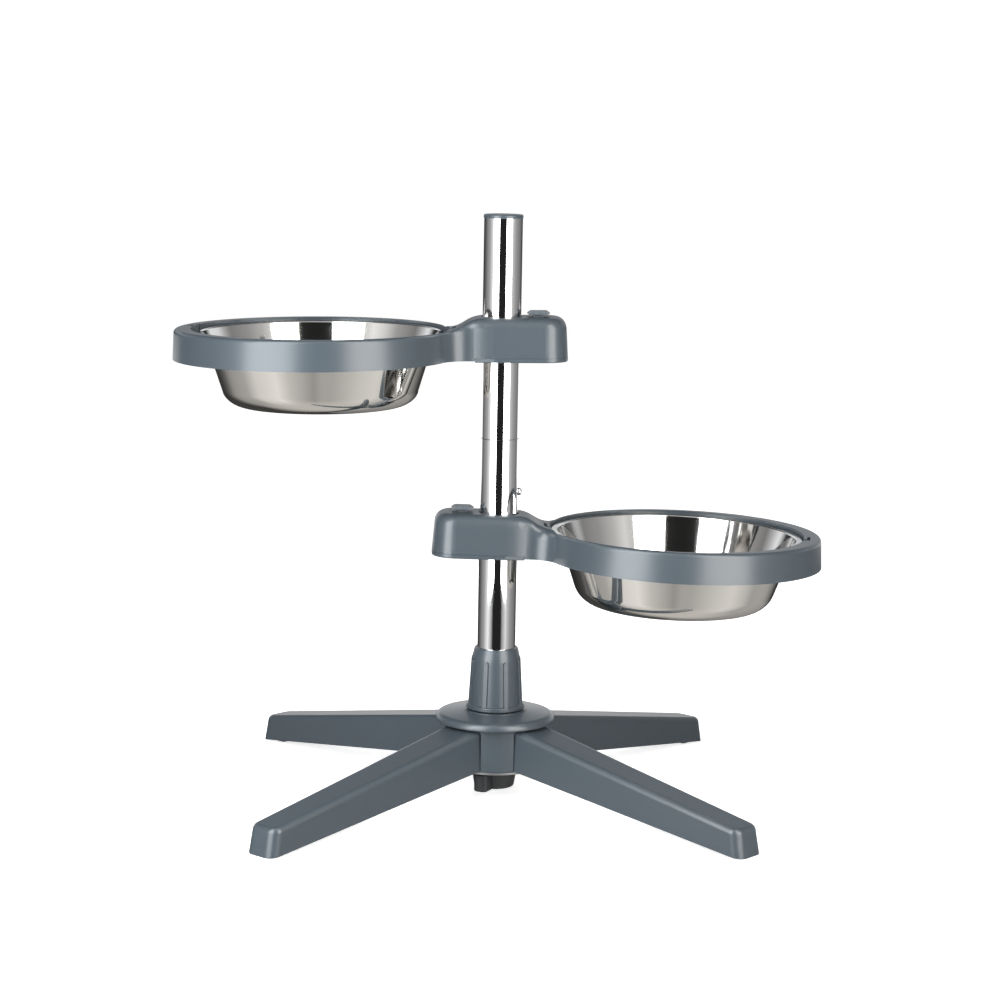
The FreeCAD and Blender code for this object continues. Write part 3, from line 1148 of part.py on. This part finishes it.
def make_lock(side):
    """Slide bush, tilting lock plate, release button and its spring."""
    bush = add_body(side + "_slide_bush")
    bore = pole_r + bush_slip
    foot = cover_thick - ring_height + bush_play
    wall = bore + bush_wall
    profile = add_sketch(bush, "XZ_Plane", "profile")
    outline(profile, [(bore, foot), (wall + bush_flange, foot), (wall + bush_flange, foot + bush_flange_thick),
                      (wall, foot + bush_flange_thick), (wall, -bush_top), (bore, -bush_top)])
    turned(bush, profile)
    on_holder(bush, side, upright=True)
    plate = add_body(side + "_lock_plate")
    plan = add_sketch(plate, "XY_Plane", "plan", -plate_thick / 2)
    start = plate_pivot + plate_nose
    outline(plan, [
        (start, -plate_half, plate_corner), (start, plate_half, plate_corner),
        (-plate_half, plate_half, plate_shoulder), (-lever_start, lever_half, lever_bend),
        (-plate_lever, lever_half, plate_corner), (-plate_lever, -lever_half, plate_corner),
        (-lever_start, -lever_half, lever_bend), (-plate_half, -plate_half, plate_shoulder)])
    circle(plan, 0.0, 0.0, plate_hole / 2)
    pad(plate, plan, plate_thick)
    height, turn, droop = sides[side]
    holder_at = Placement(Vector(0, 0, height.number), Rotation(turn.number, droop.number, 0))
    tilted = Placement(Vector(0, 0, -plate_depth.number), Rotation(0, plate_tilt.number, 0))
    plate.Placement = holder_at.multiply(tilted)
    make_button(side)
    spring = add_body(side + "_button_spring")
    wire = add_sketch(spring, "XZ_Plane", "wire")
    spring_low = -ring_height + cover_thick + spring_gap + spring_wire / 2
    lever_low = -plate_depth + button_reach * sine(plate_tilt) - plate_thick / 2
    spring_high = lever_low - spring_slack - spring_wire / 2
    circle(wire, spring_radius, spring_low, spring_wire / 2)
    coil = spring.newObject("PartDesign::AdditiveHelix", spring.Label + "_coil")
    coil.Profile = wire
    coil.ReferenceAxis = (wire, ["V_Axis"])
    coil.Mode = "height-turns-angle"
    coil.setExpression("Height", (spring_high - spring_low).text)
    coil.setExpression("Turns", spring_turns.text)
    finish_feature(spring, coil, 1)
    shift = Placement(Vector(-button_reach.number, 0, 0), Rotation())
    spring.Placement = holder_at.multiply(shift)


def make_button(side):
    """Mushroom button: a bevelled head on a stem with a stop under the block's roof."""
    button = add_body(side + "_release_button")
    top = block_rise + button_rise
    head_low = top - button_head
    face = add_sketch(button, "XZ_Plane", "head")
    x0 = -button_reach - button_half
    x1 = -button_reach + button_half
    outline(face, [(x0 + button_chamfer / 2, head_low), (x1 - button_chamfer / 2, head_low),
                   (x1, head_low + button_lip), (x1 - button_chamfer, top, button_edge), (x0 + button_chamfer, top, button_edge),
                   (x0, head_low + button_lip)])
    pad(button, face, button_width, both=True)
    level = edges_where(button, lambda e: e.BoundBox.YLength < 0.01 and e.BoundBox.ZMin > head_low.number + 0.1)
    soften(button, level, button_edge, "head_edges")
    lever_top = -plate_depth + button_reach * sine(plate_tilt) + plate_thick / 2 + face_gap
    stem_low = lever_top + stem_length / 2 * sine(plate_tilt)
    stem = add_sketch(button, "XY_Plane", "stem", stem_low)
    rectangle(stem, -button_reach - stem_length / 2, -stem_width / 2,
              -button_reach + stem_length / 2, stem_width / 2, stem_corner)
    pad(button, stem, head_low - stem_low + overlap)
    roof = block_rise - mould_wall
    stop = add_sketch(button, "XY_Plane", "stop", roof - face_gap - stem_stop)
    rectangle(stop, -button_reach - stem_length / 2 - stem_stop, -stem_width / 2 - stem_stop,
              -button_reach + stem_length / 2 + stem_stop, stem_width / 2 + stem_stop, stem_corner)
    pad(button, stop, stem_stop)
    on_holder(button, side)


def make_bowl(side):
    """Deep-drawn stainless bowl with a flat rim and a rolled hem."""
    bowl = add_body(side + "_bowl")
    sheet_in = bowl_mouth_radius
    top = -bowl_rim_drop
    base = top - bowl_depth
    profile = shifted_sketch(bowl, "XZ_Plane", "profile", bowl_reach)
    t = bowl_wall
    outline(profile, [
        (0.0, base + bowl_dimple), (bowl_dimple_radius, base + bowl_dimple),
        (bowl_dimple_radius + bowl_dimple * 2, base), (bowl_base_radius, base, bowl_base_round),
        (sheet_in + t, top - t), (bowl_rim_radius - t, top - t), (bowl_rim_radius - t, top - bowl_hem),
        (bowl_rim_radius, top - bowl_hem), (bowl_rim_radius, top, bowl_lip_round),
        (sheet_in, top, bowl_lip_round), (bowl_base_radius - t, base + t, bowl_base_round - t),
        (bowl_dimple_radius + bowl_dimple * 2, base + t),
        (bowl_dimple_radius, base + bowl_dimple + t), (0.0, base + bowl_dimple + t)])
    turned(bowl, profile)
    on_holder(bowl, side)


def build():
    make_pole()
    make_snap()
    make_hub()
    make_collar()
    for number, name in enumerate(("back_right", "back_left", "front_left", "front_right")):
        make_leg("leg_" + name, number)
        make_foot_pad("foot_pad_" + name, number)
    make_clamp()
    for side in sides:
        make_holder(side)
        make_cover(side)
        make_lock(side)
        make_bowl(side)


build()
for part in sub_parts:
    part.Tip.Refine = True
doc.recompute()

os.makedirs("parts", exist_ok=True)
for thing in doc.Objects:
    if "Invalid" in thing.State or "Error" in thing.State:
        raise RuntimeError("%s failed: %s" % (thing.Name, thing.State))
for part in sub_parts:
    if part.Shape.isNull() or not part.Shape.isValid():
        raise RuntimeError("%s has no valid shape" % part.Label)
for part in sub_parts:
    part.Shape.exportStep("parts/%s.step" % part.Label)
    box = part.Shape.optimalBoundingBox(False, False)
    print("%-22s %d solid(s) %9.1f mm3  x %.1f..%.1f y %.1f..%.1f z %.1f..%.1f" % (
        part.Label, len(part.Shape.Solids), part.Shape.Volume,
        box.XMin, box.XMax, box.YMin, box.YMax, box.ZMin, box.ZMax))
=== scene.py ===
"""Looks of the dog feeder stand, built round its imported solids. Metres, in the solids' own frame."""

import math

import bpy
from mathutils import Matrix, Vector


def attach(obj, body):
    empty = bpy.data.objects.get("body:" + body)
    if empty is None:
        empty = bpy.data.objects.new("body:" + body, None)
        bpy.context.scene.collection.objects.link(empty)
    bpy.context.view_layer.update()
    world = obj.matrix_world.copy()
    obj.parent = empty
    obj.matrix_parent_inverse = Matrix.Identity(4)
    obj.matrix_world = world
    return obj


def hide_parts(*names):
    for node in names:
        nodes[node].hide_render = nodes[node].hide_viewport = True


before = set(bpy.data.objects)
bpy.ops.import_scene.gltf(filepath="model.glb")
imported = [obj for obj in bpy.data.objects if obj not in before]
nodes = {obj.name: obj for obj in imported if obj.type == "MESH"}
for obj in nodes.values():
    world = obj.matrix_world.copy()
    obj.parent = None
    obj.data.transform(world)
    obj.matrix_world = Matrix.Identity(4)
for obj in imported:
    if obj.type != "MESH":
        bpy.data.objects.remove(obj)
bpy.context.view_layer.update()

# Pole: two stainless tubes, drawn, cut square and buffed to a mirror along their length. The lower one
# stands in the hub and the upper one is pushed over a hidden sleeve, which leaves a fine seam.
tube_steel = (0.80, 0.80, 0.805)
tube_roughness = 0.045
buff_lines_per_metre = 900.0
line_height = 0.00002
haze_tint = (0.94, 0.935, 0.93, 1)
evenly = (1.0, 1.0, 1.0)
along_pole = (1.0, 1.0, 0.02)


def reckoned(tree, operation, first, second=0.0, clamp=False):
    """One step of arithmetic on sockets or plain numbers."""
    node = tree.nodes.new("ShaderNodeMath")
    node.operation = operation
    node.use_clamp = clamp
    for socket, value in zip(node.inputs, (first, second)):
        if isinstance(value, float):
            socket.default_value = value
        else:
            tree.links.new(value, socket)
    return node.outputs["Value"]


def mixed(tree, factor, first, second, blend="MIX"):
    """Two colours, laid over each other by a mask."""
    node = tree.nodes.new("ShaderNodeMix")
    node.data_type = "RGBA"
    node.blend_type = blend
    for name, value in (("Factor", factor), ("A", first), ("B", second)):
        if isinstance(value, tuple):
            node.inputs[name].default_value = value
        else:
            tree.links.new(value, node.inputs[name])
    return node.outputs["Result"]


def surface_group(name, inputs):
    """An empty node group that puts out a colour, a roughness and a normal."""
    group = bpy.data.node_groups.new(name, "ShaderNodeTree")
    for label, kind, value in inputs:
        socket = group.interface.new_socket(label, in_out="INPUT", socket_type=kind)
        if value is not None:
            socket.default_value = value
    for label, kind in (("Color", "NodeSocketColor"), ("Roughness", "NodeSocketFloat"),
                        ("Normal", "NodeSocketVector")):
        group.interface.new_socket(label, in_out="OUTPUT", socket_type=kind)
    return group, group.nodes.new("NodeGroupInput"), group.nodes.new("NodeGroupOutput")


def buffed_metal_group():
    """Fine polishing lines and faint cloudiness, from a position that is stretched along the lines."""
    group, given, result = surface_group("buffed_metal", (
        ("Position", "NodeSocketVector", None), ("Color", "NodeSocketColor", (0.8, 0.8, 0.8, 1)),
        ("Roughness", "NodeSocketFloat", 0.1), ("Line Depth", "NodeSocketFloat", 0.1),
        ("Line Scale", "NodeSocketFloat", 400.0), ("Haze", "NodeSocketFloat", 0.1)))
    inside = group.nodes
    join = group.links.new
    lines = inside.new("ShaderNodeTexNoise")
    lines.inputs["Detail"].default_value = 3.0
    join(given.outputs["Position"], lines.inputs["Vector"])
    join(given.outputs["Line Scale"], lines.inputs["Scale"])
    haze = inside.new("ShaderNodeTexNoise")
    haze.inputs["Scale"].default_value = 38.0
    haze.inputs["Detail"].default_value = 4.0
    join(given.outputs["Position"], haze.inputs["Vector"])
    centred = reckoned(group, "SUBTRACT", lines.outputs["Fac"], 0.5)
    scaled = reckoned(group, "MULTIPLY", centred, given.outputs["Haze"])
    rough = reckoned(group, "ADD", scaled, given.outputs["Roughness"], clamp=True)
    dull = mixed(group, haze.outputs["Fac"], given.outputs["Color"], haze_tint, "MULTIPLY")
    bump = inside.new("ShaderNodeBump")
    bump.inputs["Distance"].default_value = line_height
    join(given.outputs["Line Depth"], bump.inputs["Strength"])
    join(lines.outputs["Fac"], bump.inputs["Height"])
    join(dull, result.inputs["Color"])
    join(rough, result.inputs["Roughness"])
    join(bump.outputs["Normal"], result.inputs["Normal"])
    return group


buffed_metal = buffed_metal_group()


def metal(name, color, roughness, stretch, line_scale, line_depth=0.1, haze=0.1):
    """Bare metal with its polishing lines running across the long direction of the stretch."""
    material = bpy.data.materials.new(name)
    material.use_nodes = True
    tree = material.node_tree
    principled = tree.nodes["Principled BSDF"]
    principled.inputs["Metallic"].default_value = 1.0
    place = tree.nodes.new("ShaderNodeTexCoord")
    squeeze = tree.nodes.new("ShaderNodeMapping")
    squeeze.inputs["Scale"].default_value = stretch
    marks = tree.nodes.new("ShaderNodeGroup")
    marks.node_tree = buffed_metal
    marks.inputs["Color"].default_value = (*color, 1.0)
    marks.inputs["Roughness"].default_value = roughness
    marks.inputs["Line Scale"].default_value = line_scale
    marks.inputs["Line Depth"].default_value = line_depth
    marks.inputs["Haze"].default_value = haze
    tree.links.new(place.outputs["Object"], squeeze.inputs["Vector"])
    tree.links.new(squeeze.outputs["Vector"], marks.inputs["Position"])
    tree.links.new(marks.outputs["Color"], principled.inputs["Base Color"])
    tree.links.new(marks.outputs["Roughness"], principled.inputs["Roughness"])
    tree.links.new(marks.outputs["Normal"], principled.inputs["Normal"])
    return material


def dress(material, *names):
    """The same finish on several solids."""
    for name in names:
        mesh = nodes[name].data
        mesh.materials.clear()
        mesh.materials.append(material)


mirror_tube = metal("mirror_tube", tube_steel, tube_roughness, along_pole, buff_lines_per_metre, 0.05, 0.03)
dress(mirror_tube, "pole_lower_tube", "pole_upper_tube", "snap_button")
plated = metal("zinc_plated_steel", (0.42, 0.43, 0.44), 0.36, evenly, 300.0, 0.3, 0.15)
dress(plated, "pole_joiner", "pole_foot_nut", "knob_stud", "leg_clamp_plate",
      "upper_lock_plate", "lower_lock_plate", "upper_cover_screws", "lower_cover_screws")
spring_steel = metal("spring_steel", (0.45, 0.45, 0.46), 0.3, evenly, 300.0, 0.2, 0.1)
dress(spring_steel, "snap_spring", "upper_button_spring", "lower_button_spring")

# Mouldings: the holders, hub, legs, collar nut and cap are injection-moulded in one slate grey
# plastic with a fine spark-eroded grain, and the rest in black.
slate = (0.035, 0.044, 0.052)
grain_height = 0.00006
flow_marks_per_metre = 22.0
flow_tint = (0.86, 0.88, 0.90, 1)
uneven_gloss = (-0.008, 0.012)


def moulded_skin_group():
    """Grain, faint flow marks and a little uneven gloss of a moulded surface."""
    group, given, result = surface_group("moulded_skin", (
        ("Color", "NodeSocketColor", (0.1, 0.1, 0.1, 1)), ("Roughness", "NodeSocketFloat", 0.4),
        ("Grain Scale", "NodeSocketFloat", 1400.0), ("Grain Depth", "NodeSocketFloat", 0.2),
        ("Flow", "NodeSocketFloat", 0.5)))
    inside = group.nodes
    join = group.links.new
    place = inside.new("ShaderNodeTexCoord")
    grain = inside.new("ShaderNodeTexNoise")
    grain.inputs["Detail"].default_value = 2.0
    join(place.outputs["Object"], grain.inputs["Vector"])
    join(given.outputs["Grain Scale"], grain.inputs["Scale"])
    flow = inside.new("ShaderNodeTexNoise")
    flow.inputs["Scale"].default_value = flow_marks_per_metre
    flow.inputs["Detail"].default_value = 1.0
    join(place.outputs["Object"], flow.inputs["Vector"])
    share = reckoned(group, "MULTIPLY", flow.outputs["Fac"], given.outputs["Flow"])
    tint = mixed(group, share, given.outputs["Color"], flow_tint, "MULTIPLY")
    uneven = inside.new("ShaderNodeMapRange")
    uneven.inputs["To Min"].default_value, uneven.inputs["To Max"].default_value = uneven_gloss
    join(flow.outputs["Fac"], uneven.inputs["Value"])
    rough = reckoned(group, "ADD", uneven.outputs["Result"], given.outputs["Roughness"], clamp=True)
    bump = inside.new("ShaderNodeBump")
    bump.inputs["Distance"].default_value = grain_height
    join(given.outputs["Grain Depth"], bump.inputs["Strength"])
    join(grain.outputs["Fac"], bump.inputs["Height"])
    join(tint, result.inputs["Color"])
    join(rough, result.inputs["Roughness"])
    join(bump.outputs["Normal"], result.inputs["Normal"])
    return group


moulded_skin = moulded_skin_group()


def moulded(name, color, roughness, grain_scale=1400.0, grain_depth=0.05, flow=0.3):
    """A moulded plastic or rubber with its own grain."""
    material = bpy.data.materials.new(name)
    material.use_nodes = True
    tree = material.node_tree
    principled = tree.nodes["Principled BSDF"]
    skin = tree.nodes.new("ShaderNodeGroup")
    skin.node_tree = moulded_skin
    skin.inputs["Color"].default_value = (*color, 1.0)
    skin.inputs["Roughness"].default_value = roughness
    skin.inputs["Grain Scale"].default_value = grain_scale
    skin.inputs["Grain Depth"].default_value = grain_depth
    skin.inputs["Flow"].default_value = flow
    tree.links.new(skin.outputs["Color"], principled.inputs["Base Color"])
    tree.links.new(skin.outputs["Roughness"], principled.inputs["Roughness"])
    tree.links.new(skin.outputs["Normal"], principled.inputs["Normal"])
    return material


slate_plastic = moulded("slate_plastic", slate, 0.295)
dress(slate_plastic, "pole_cap", "hub", "collar_nut", "leg_back_right", "leg_back_left", "leg_front_left",
      "leg_front_right", "upper_holder_body", "lower_holder_body", "upper_lock_cover", "lower_lock_cover")
black_plastic = moulded("black_plastic", (0.022, 0.024, 0.026), 0.38)
dress(black_plastic, "pole_foot_plug", "collet_ring", "wing_knob", "upper_slide_bush", "lower_slide_bush")
button_plastic = moulded("button_plastic", (0.06, 0.07, 0.08), 0.34)
dress(button_plastic, "upper_release_button", "lower_release_button")
pad_rubber = moulded("pad_rubber", (0.018, 0.018, 0.019), 0.75, 900.0, 0.6)
dress(pad_rubber, "foot_pad_back_right", "foot_pad_back_left", "foot_pad_front_left", "foot_pad_front_right")

# Bowls: deep-drawn stainless steel with a rolled rim, mirror-polished inside and buffed outside in
# circles while they spin. Each is turned from one outline, with a rounding on every corner.
holders = {"upper": (396.7, 180.0, 0.74), "lower": (232.1, 2.15, 1.34)}
bowl_reach = 150.4
bowl_top = -3.0
bowl_base = bowl_top - 61.7
sheet = 0.9
rim_radius, rim_depth, rim_round = 106.6, 2.4, 1.6
mouth_radius = 99.7
foot_radius, foot_round = 79.0, 22.0
step_radius, dish_radius, dish_rise, dish_round = 57.0, 54.0, 1.5, 2.0
sheet_edge, hem_edge = 0.35, 0.3


def holder_place(side):
    """The holder's own frame, in metres."""
    height, turn, droop = holders[side]
    place = Matrix.Rotation(math.radians(turn), 4, "Z") @ Matrix.Rotation(math.radians(droop), 4, "Y")
    return Matrix.Translation((0.0, 0.0, height / 1000.0)) @ place


def rounded_outline(corners, step=math.radians(6.0)):
    """Points and outward normals along a closed (radius, height) outline with rounded corners."""
    points = []
    for index, (radius, height, rounding) in enumerate(corners):
        here = Vector((radius, height))
        into = (Vector(corners[index - 1][:2]) - here).normalized()
        out = (Vector(corners[(index + 1) % len(corners)][:2]) - here).normalized()
        if rounding == 0.0:
            facing = Vector((0.0, 1.0 if out.x > 0.0 or into.x < 0.0 else -1.0))
            points.append((here, facing))
            continue
        half = into.angle(out) / 2.0
        middle = here + (into + out).normalized() * rounding / math.sin(half)
        start = here + into * rounding / math.tan(half)
        stop = here + out * rounding / math.tan(half)
        hollow = into.x * out.y - into.y * out.x > 0.0
        first, last = (start - middle).normalized(), (stop - middle).normalized()
        sweep = first.angle(last)
        count = max(2, math.ceil(sweep / step))
        turn = sweep / count * (1.0 if first.x * last.y - first.y * last.x > 0.0 else -1.0)
        for i in range(count + 1):
            spoke = Vector((first.x * math.cos(turn * i) - first.y * math.sin(turn * i),
                            first.x * math.sin(turn * i) + first.y * math.cos(turn * i)))
            points.append((middle + spoke * rounding, -spoke if hollow else spoke))
    return points


def turned_piece(name, corners, place, steps=192):
    """A smooth body of revolution about the Z axis of its place, from an outline in millimetres."""
    outline = rounded_outline(corners)
    verts, faces, normals = [], [], []
    rings = []
    for point, facing in outline:
        if point.x < 1e-6:
            rings.append([len(verts)])
            verts.append((0.0, 0.0, point.y / 1000.0))
            normals.append(Vector((0.0, 0.0, math.copysign(1.0, facing.y))))
            continue
        ring = []
        for i in range(steps):
            angle = 2.0 * math.pi * i / steps
            across = (math.cos(angle), math.sin(angle))
            ring.append(len(verts))
            verts.append((point.x / 1000.0 * across[0], point.x / 1000.0 * across[1], point.y / 1000.0))
            normals.append(Vector((facing.x * across[0], facing.x * across[1], facing.y)))
        rings.append(ring)
    for low, high in zip(rings, rings[1:] + rings[:1]):
        for i in range(steps):
            j = (i + 1) % steps
            if len(low) == 1 and len(high) == 1:
                continue
            if len(low) == 1:
                faces.append((low[0], high[j], high[i]))
            elif len(high) == 1:
                faces.append((low[i], low[j], high[0]))
            else:
                faces.append((low[i], low[j], high[j], high[i]))
    mesh = bpy.data.meshes.new(name)
    mesh.from_pydata([place @ Vector(v) for v in verts], [], faces)
    mesh.update()
    mesh.shade_smooth()
    turn = place.to_3x3()
    mesh.normals_split_custom_set_from_vertices([turn @ n for n in normals])
    piece = bpy.data.objects.new(name, mesh)
    bpy.context.collection.objects.link(piece)
    return piece


bowl_outline = [
    (0.0, bowl_base + dish_rise, 0.0), (dish_radius, bowl_base + dish_rise, dish_round),
    (step_radius, bowl_base, dish_round), (foot_radius, bowl_base, foot_round),
    (mouth_radius + sheet, bowl_top - sheet, sheet_edge), (rim_radius - sheet, bowl_top - sheet, sheet_edge),
    (rim_radius - sheet, bowl_top - rim_depth, hem_edge), (rim_radius, bowl_top - rim_depth, hem_edge),
    (rim_radius, bowl_top, rim_round), (mouth_radius, bowl_top, rim_round),
    (foot_radius - sheet, bowl_base + sheet, foot_round - sheet), (step_radius, bowl_base + sheet, dish_round),
    (dish_radius, bowl_base + dish_rise + sheet, dish_round), (0.0, bowl_base + dish_rise + sheet, 0.0)]
bowl_steel = metal("bowl_steel", (0.74, 0.73, 0.71), 0.06, evenly, 500.0, 0.05, 0.04)
for side in holders:
    place = holder_place(side) @ Matrix.Translation((bowl_reach / 1000.0, 0.0, 0.0))
    bowl = turned_piece(side + "_bowl_turned", bowl_outline, place)
    bowl.data.materials.append(bowl_steel)
    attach(bowl, side + "_bowl")
    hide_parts(side + "_bowl")

# Studio: a white floor, and a room that is white to the camera alone. What the metal sees is a dark gap
# behind the camera, a soft box on each side of it, grey walls, a pale sweep far back and a low panel.
floor_half = 4.0
floor_glow = 0.75
floor_corners = [(-floor_half, -floor_half, 0.0), (floor_half, -floor_half, 0.0),
                 (floor_half, floor_half, 0.0), (-floor_half, floor_half, 0.0)]
floor_mesh = bpy.data.meshes.new("floor")
floor_mesh.from_pydata(floor_corners, [], [(0, 1, 2, 3)])
floor = bpy.data.objects.new("floor", floor_mesh)
bpy.context.collection.objects.link(floor)
floor.visible_glossy = False
floor_white = bpy.data.materials.new("floor_white")
floor_white.use_nodes = True
tree = floor_white.node_tree
tree.nodes.clear()
paint = tree.nodes.new("ShaderNodeBsdfDiffuse")
paint.inputs["Color"].default_value = (0.82, 0.82, 0.82, 1)
glow = tree.nodes.new("ShaderNodeEmission")
path = tree.nodes.new("ShaderNodeLightPath")
both = tree.nodes.new("ShaderNodeAddShader")
surface = tree.nodes.new("ShaderNodeOutputMaterial")
tree.links.new(reckoned(tree, "MULTIPLY", path.outputs["Is Camera Ray"], floor_glow), glow.inputs["Strength"])
tree.links.new(paint.outputs["BSDF"], both.inputs[0])
tree.links.new(glow.outputs["Emission"], both.inputs[1])
tree.links.new(both.outputs["Shader"], surface.inputs["Surface"])
floor_mesh.materials.append(floor_white)

room = bpy.data.worlds.new("studio")
bpy.context.scene.world = room
room.use_nodes = True
tree = room.node_tree
tree.nodes.clear()


def ramp_node(tree, driver, low, high, stops, tint=(1.0, 1.0, 1.0)):
    """Grey levels along a quantity that runs from low to high, with linear steps between the stops."""
    share = tree.nodes.new("ShaderNodeMapRange")
    share.inputs["From Min"].default_value = low
    share.inputs["From Max"].default_value = high
    tree.links.new(driver, share.inputs["Value"])
    levels = tree.nodes.new("ShaderNodeValToRGB")
    ramp = levels.color_ramp
    while len(ramp.elements) < len(stops):
        ramp.elements.new(0.5)
    for element, (at, value) in zip(ramp.elements, stops):
        element.position = (at - low) / (high - low)
        element.color = (value * tint[0], value * tint[1], value * tint[2], 1)
    tree.links.new(share.outputs["Result"], levels.inputs["Fac"])
    return levels.outputs["Color"]


direction = tree.nodes.new("ShaderNodeTexCoord")
parts = tree.nodes.new("ShaderNodeSeparateXYZ")
tree.links.new(direction.outputs["Generated"], parts.inputs["Vector"])
towards = reckoned(tree, "MULTIPLY", parts.outputs["Y"], -1.0)
bearing = reckoned(tree, "DEGREES", reckoned(tree, "ARCTAN2", parts.outputs["X"], towards))
walls = ramp_node(tree, bearing, -180.0, 180.0, [
    (-180, 0.02), (-150, 0.03), (-122, 0.14), (-100, 0.32), (-83, 0.45), (-68, 0.85), (-55, 1.1), (-30, 0.3),
    (-24, 0.02), (24, 0.02), (30, 0.3), (55, 0.9), (68, 0.6), (86, 0.38), (103, 0.30), (125, 0.2),
    (150, 0.05), (180, 0.02)])
ground = ramp_node(tree, bearing, -180.0, 180.0, [
    (-180, 0.06), (-140, 0.06), (-130, 0.20), (-122, 0.36), (-108, 0.44), (-96, 0.50), (-80, 0.84), (-53, 1.0),
    (-36, 0.70), (-15, 0.50), (-5, 0.40), (5, 0.50), (20, 0.52), (35, 0.62), (52, 0.74), (75, 0.86),
    (94, 0.66), (106, 0.46), (121, 0.48), (160, 0.34), (180, 0.20)], (1.0, 0.975, 0.93))
under = ramp_node(tree, parts.outputs["Z"], -1.0, 1.0, [(-1.0, 1.0), (-0.97, 1.0), (-0.80, 0.0), (1.0, 0.0)])
rise = ramp_node(tree, parts.outputs["Z"], -1.0, 1.0, [
    (-1.0, 0.0), (-0.45, 0.0), (-0.30, 1.0), (0.80, 1.0), (0.92, 0.0), (1.0, 0.0)])
beneath = mixed(tree, under, ground, (0.66, 0.635, 0.595, 1))
sweep = ramp_node(tree, parts.outputs["Z"], -1.0, 1.0, [
    (-1.0, 0.0), (0.12, 0.0), (0.18, 1.0), (0.28, 0.9), (0.42, 0.25), (0.55, 0.0), (1.0, 0.0)])
behind = tree.nodes.new("ShaderNodeMapRange")
behind.inputs["From Min"].default_value = 0.30
behind.inputs["From Max"].default_value = 0.60
tree.links.new(parts.outputs["Y"], behind.inputs["Value"])
lit = reckoned(tree, "MULTIPLY", sweep, behind.outputs["Result"])
around = mixed(tree, lit, walls, (0.95, 0.97, 1.0, 1))
blend = mixed(tree, rise, beneath, around)
path = tree.nodes.new("ShaderNodeLightPath")
seen = mixed(tree, path.outputs["Is Camera Ray"], blend, (1, 1, 1, 1))
light = tree.nodes.new("ShaderNodeBackground")
tree.links.new(seen, light.inputs["Color"])
surface = tree.nodes.new("ShaderNodeOutputWorld")
tree.links.new(light.outputs["Background"], surface.inputs["Surface"])


def soft_box(name, width, height, energy, color=(1.0, 1.0, 1.0)):
    """A rectangular lamp with a cloth front."""
    lamp = bpy.data.lights.new(name, "AREA")
    lamp.shape = "RECTANGLE"
    lamp.size = width
    lamp.size_y = height
    lamp.energy = energy
    lamp.color = color
    box = bpy.data.objects.new(name, lamp)
    bpy.context.collection.objects.link(box)
    return box


top_box = soft_box("top_box", 1.6, 1.2, 4.0)
top_box.location = (-0.5, -0.7, 2.0)
top_box.rotation_euler = (Vector((0.0, 0.0, 0.2)) - top_box.location).to_track_quat("-Z", "Y").to_euler()

box_height, box_middle = 1.4, 0.73
for name, start, end, energy, tint in (
        ("left_box", (-0.62, -0.42), (-0.30, -0.80), 21.0, (0.93, 0.975, 1.0)),
        ("right_box", (0.30, -0.80), (0.62, -0.42), 16.5, (1.0, 0.985, 0.955))):
    across = Vector((end[0] - start[0], end[1] - start[1], 0.0))
    side_box = soft_box(name, across.length, box_height, energy, tint)
    across.normalize()
    upward = Vector((0.0, 0.0, 1.0))
    facing = Matrix((across, upward, across.cross(upward))).transposed().to_4x4()
    middle = Vector(((start[0] + end[0]) / 2.0, (start[1] + end[1]) / 2.0, box_middle))
    side_box.matrix_world = Matrix.Translation(middle) @ facing
    side_box.visible_camera = False

low_box = soft_box("low_box", 2.6, 0.26, 2.6)
facing = Matrix(((-1, 0, 0), (0, 0, 1), (0, 1, 0))).to_4x4()
low_box.matrix_world = Matrix.Translation((0.0, 1.1, 0.16)) @ facing
low_box.visible_camera = False

# Camera: a long lens a little over two metres away, looking slightly down, held 1 degree askew.
lens_length = 95.88
look_down = 8.788
askew = 0.01723
camera_place = (-0.000243, -2.20151, 0.59419)
camera_data = bpy.data.cameras.new("camera")
camera_data.lens = lens_length
camera_data.sensor_width = 36.0
camera = bpy.data.objects.new("camera", camera_data)
look = Matrix.Rotation(math.radians(90.0 - look_down), 4, "X") @ Matrix.Rotation(askew, 4, "Z")
camera.matrix_world = Matrix.Translation(camera_place) @ look
bpy.context.collection.objects.link(camera)
bpy.context.scene.camera = camera
bpy.context.scene.view_settings.view_transform = "Standard"
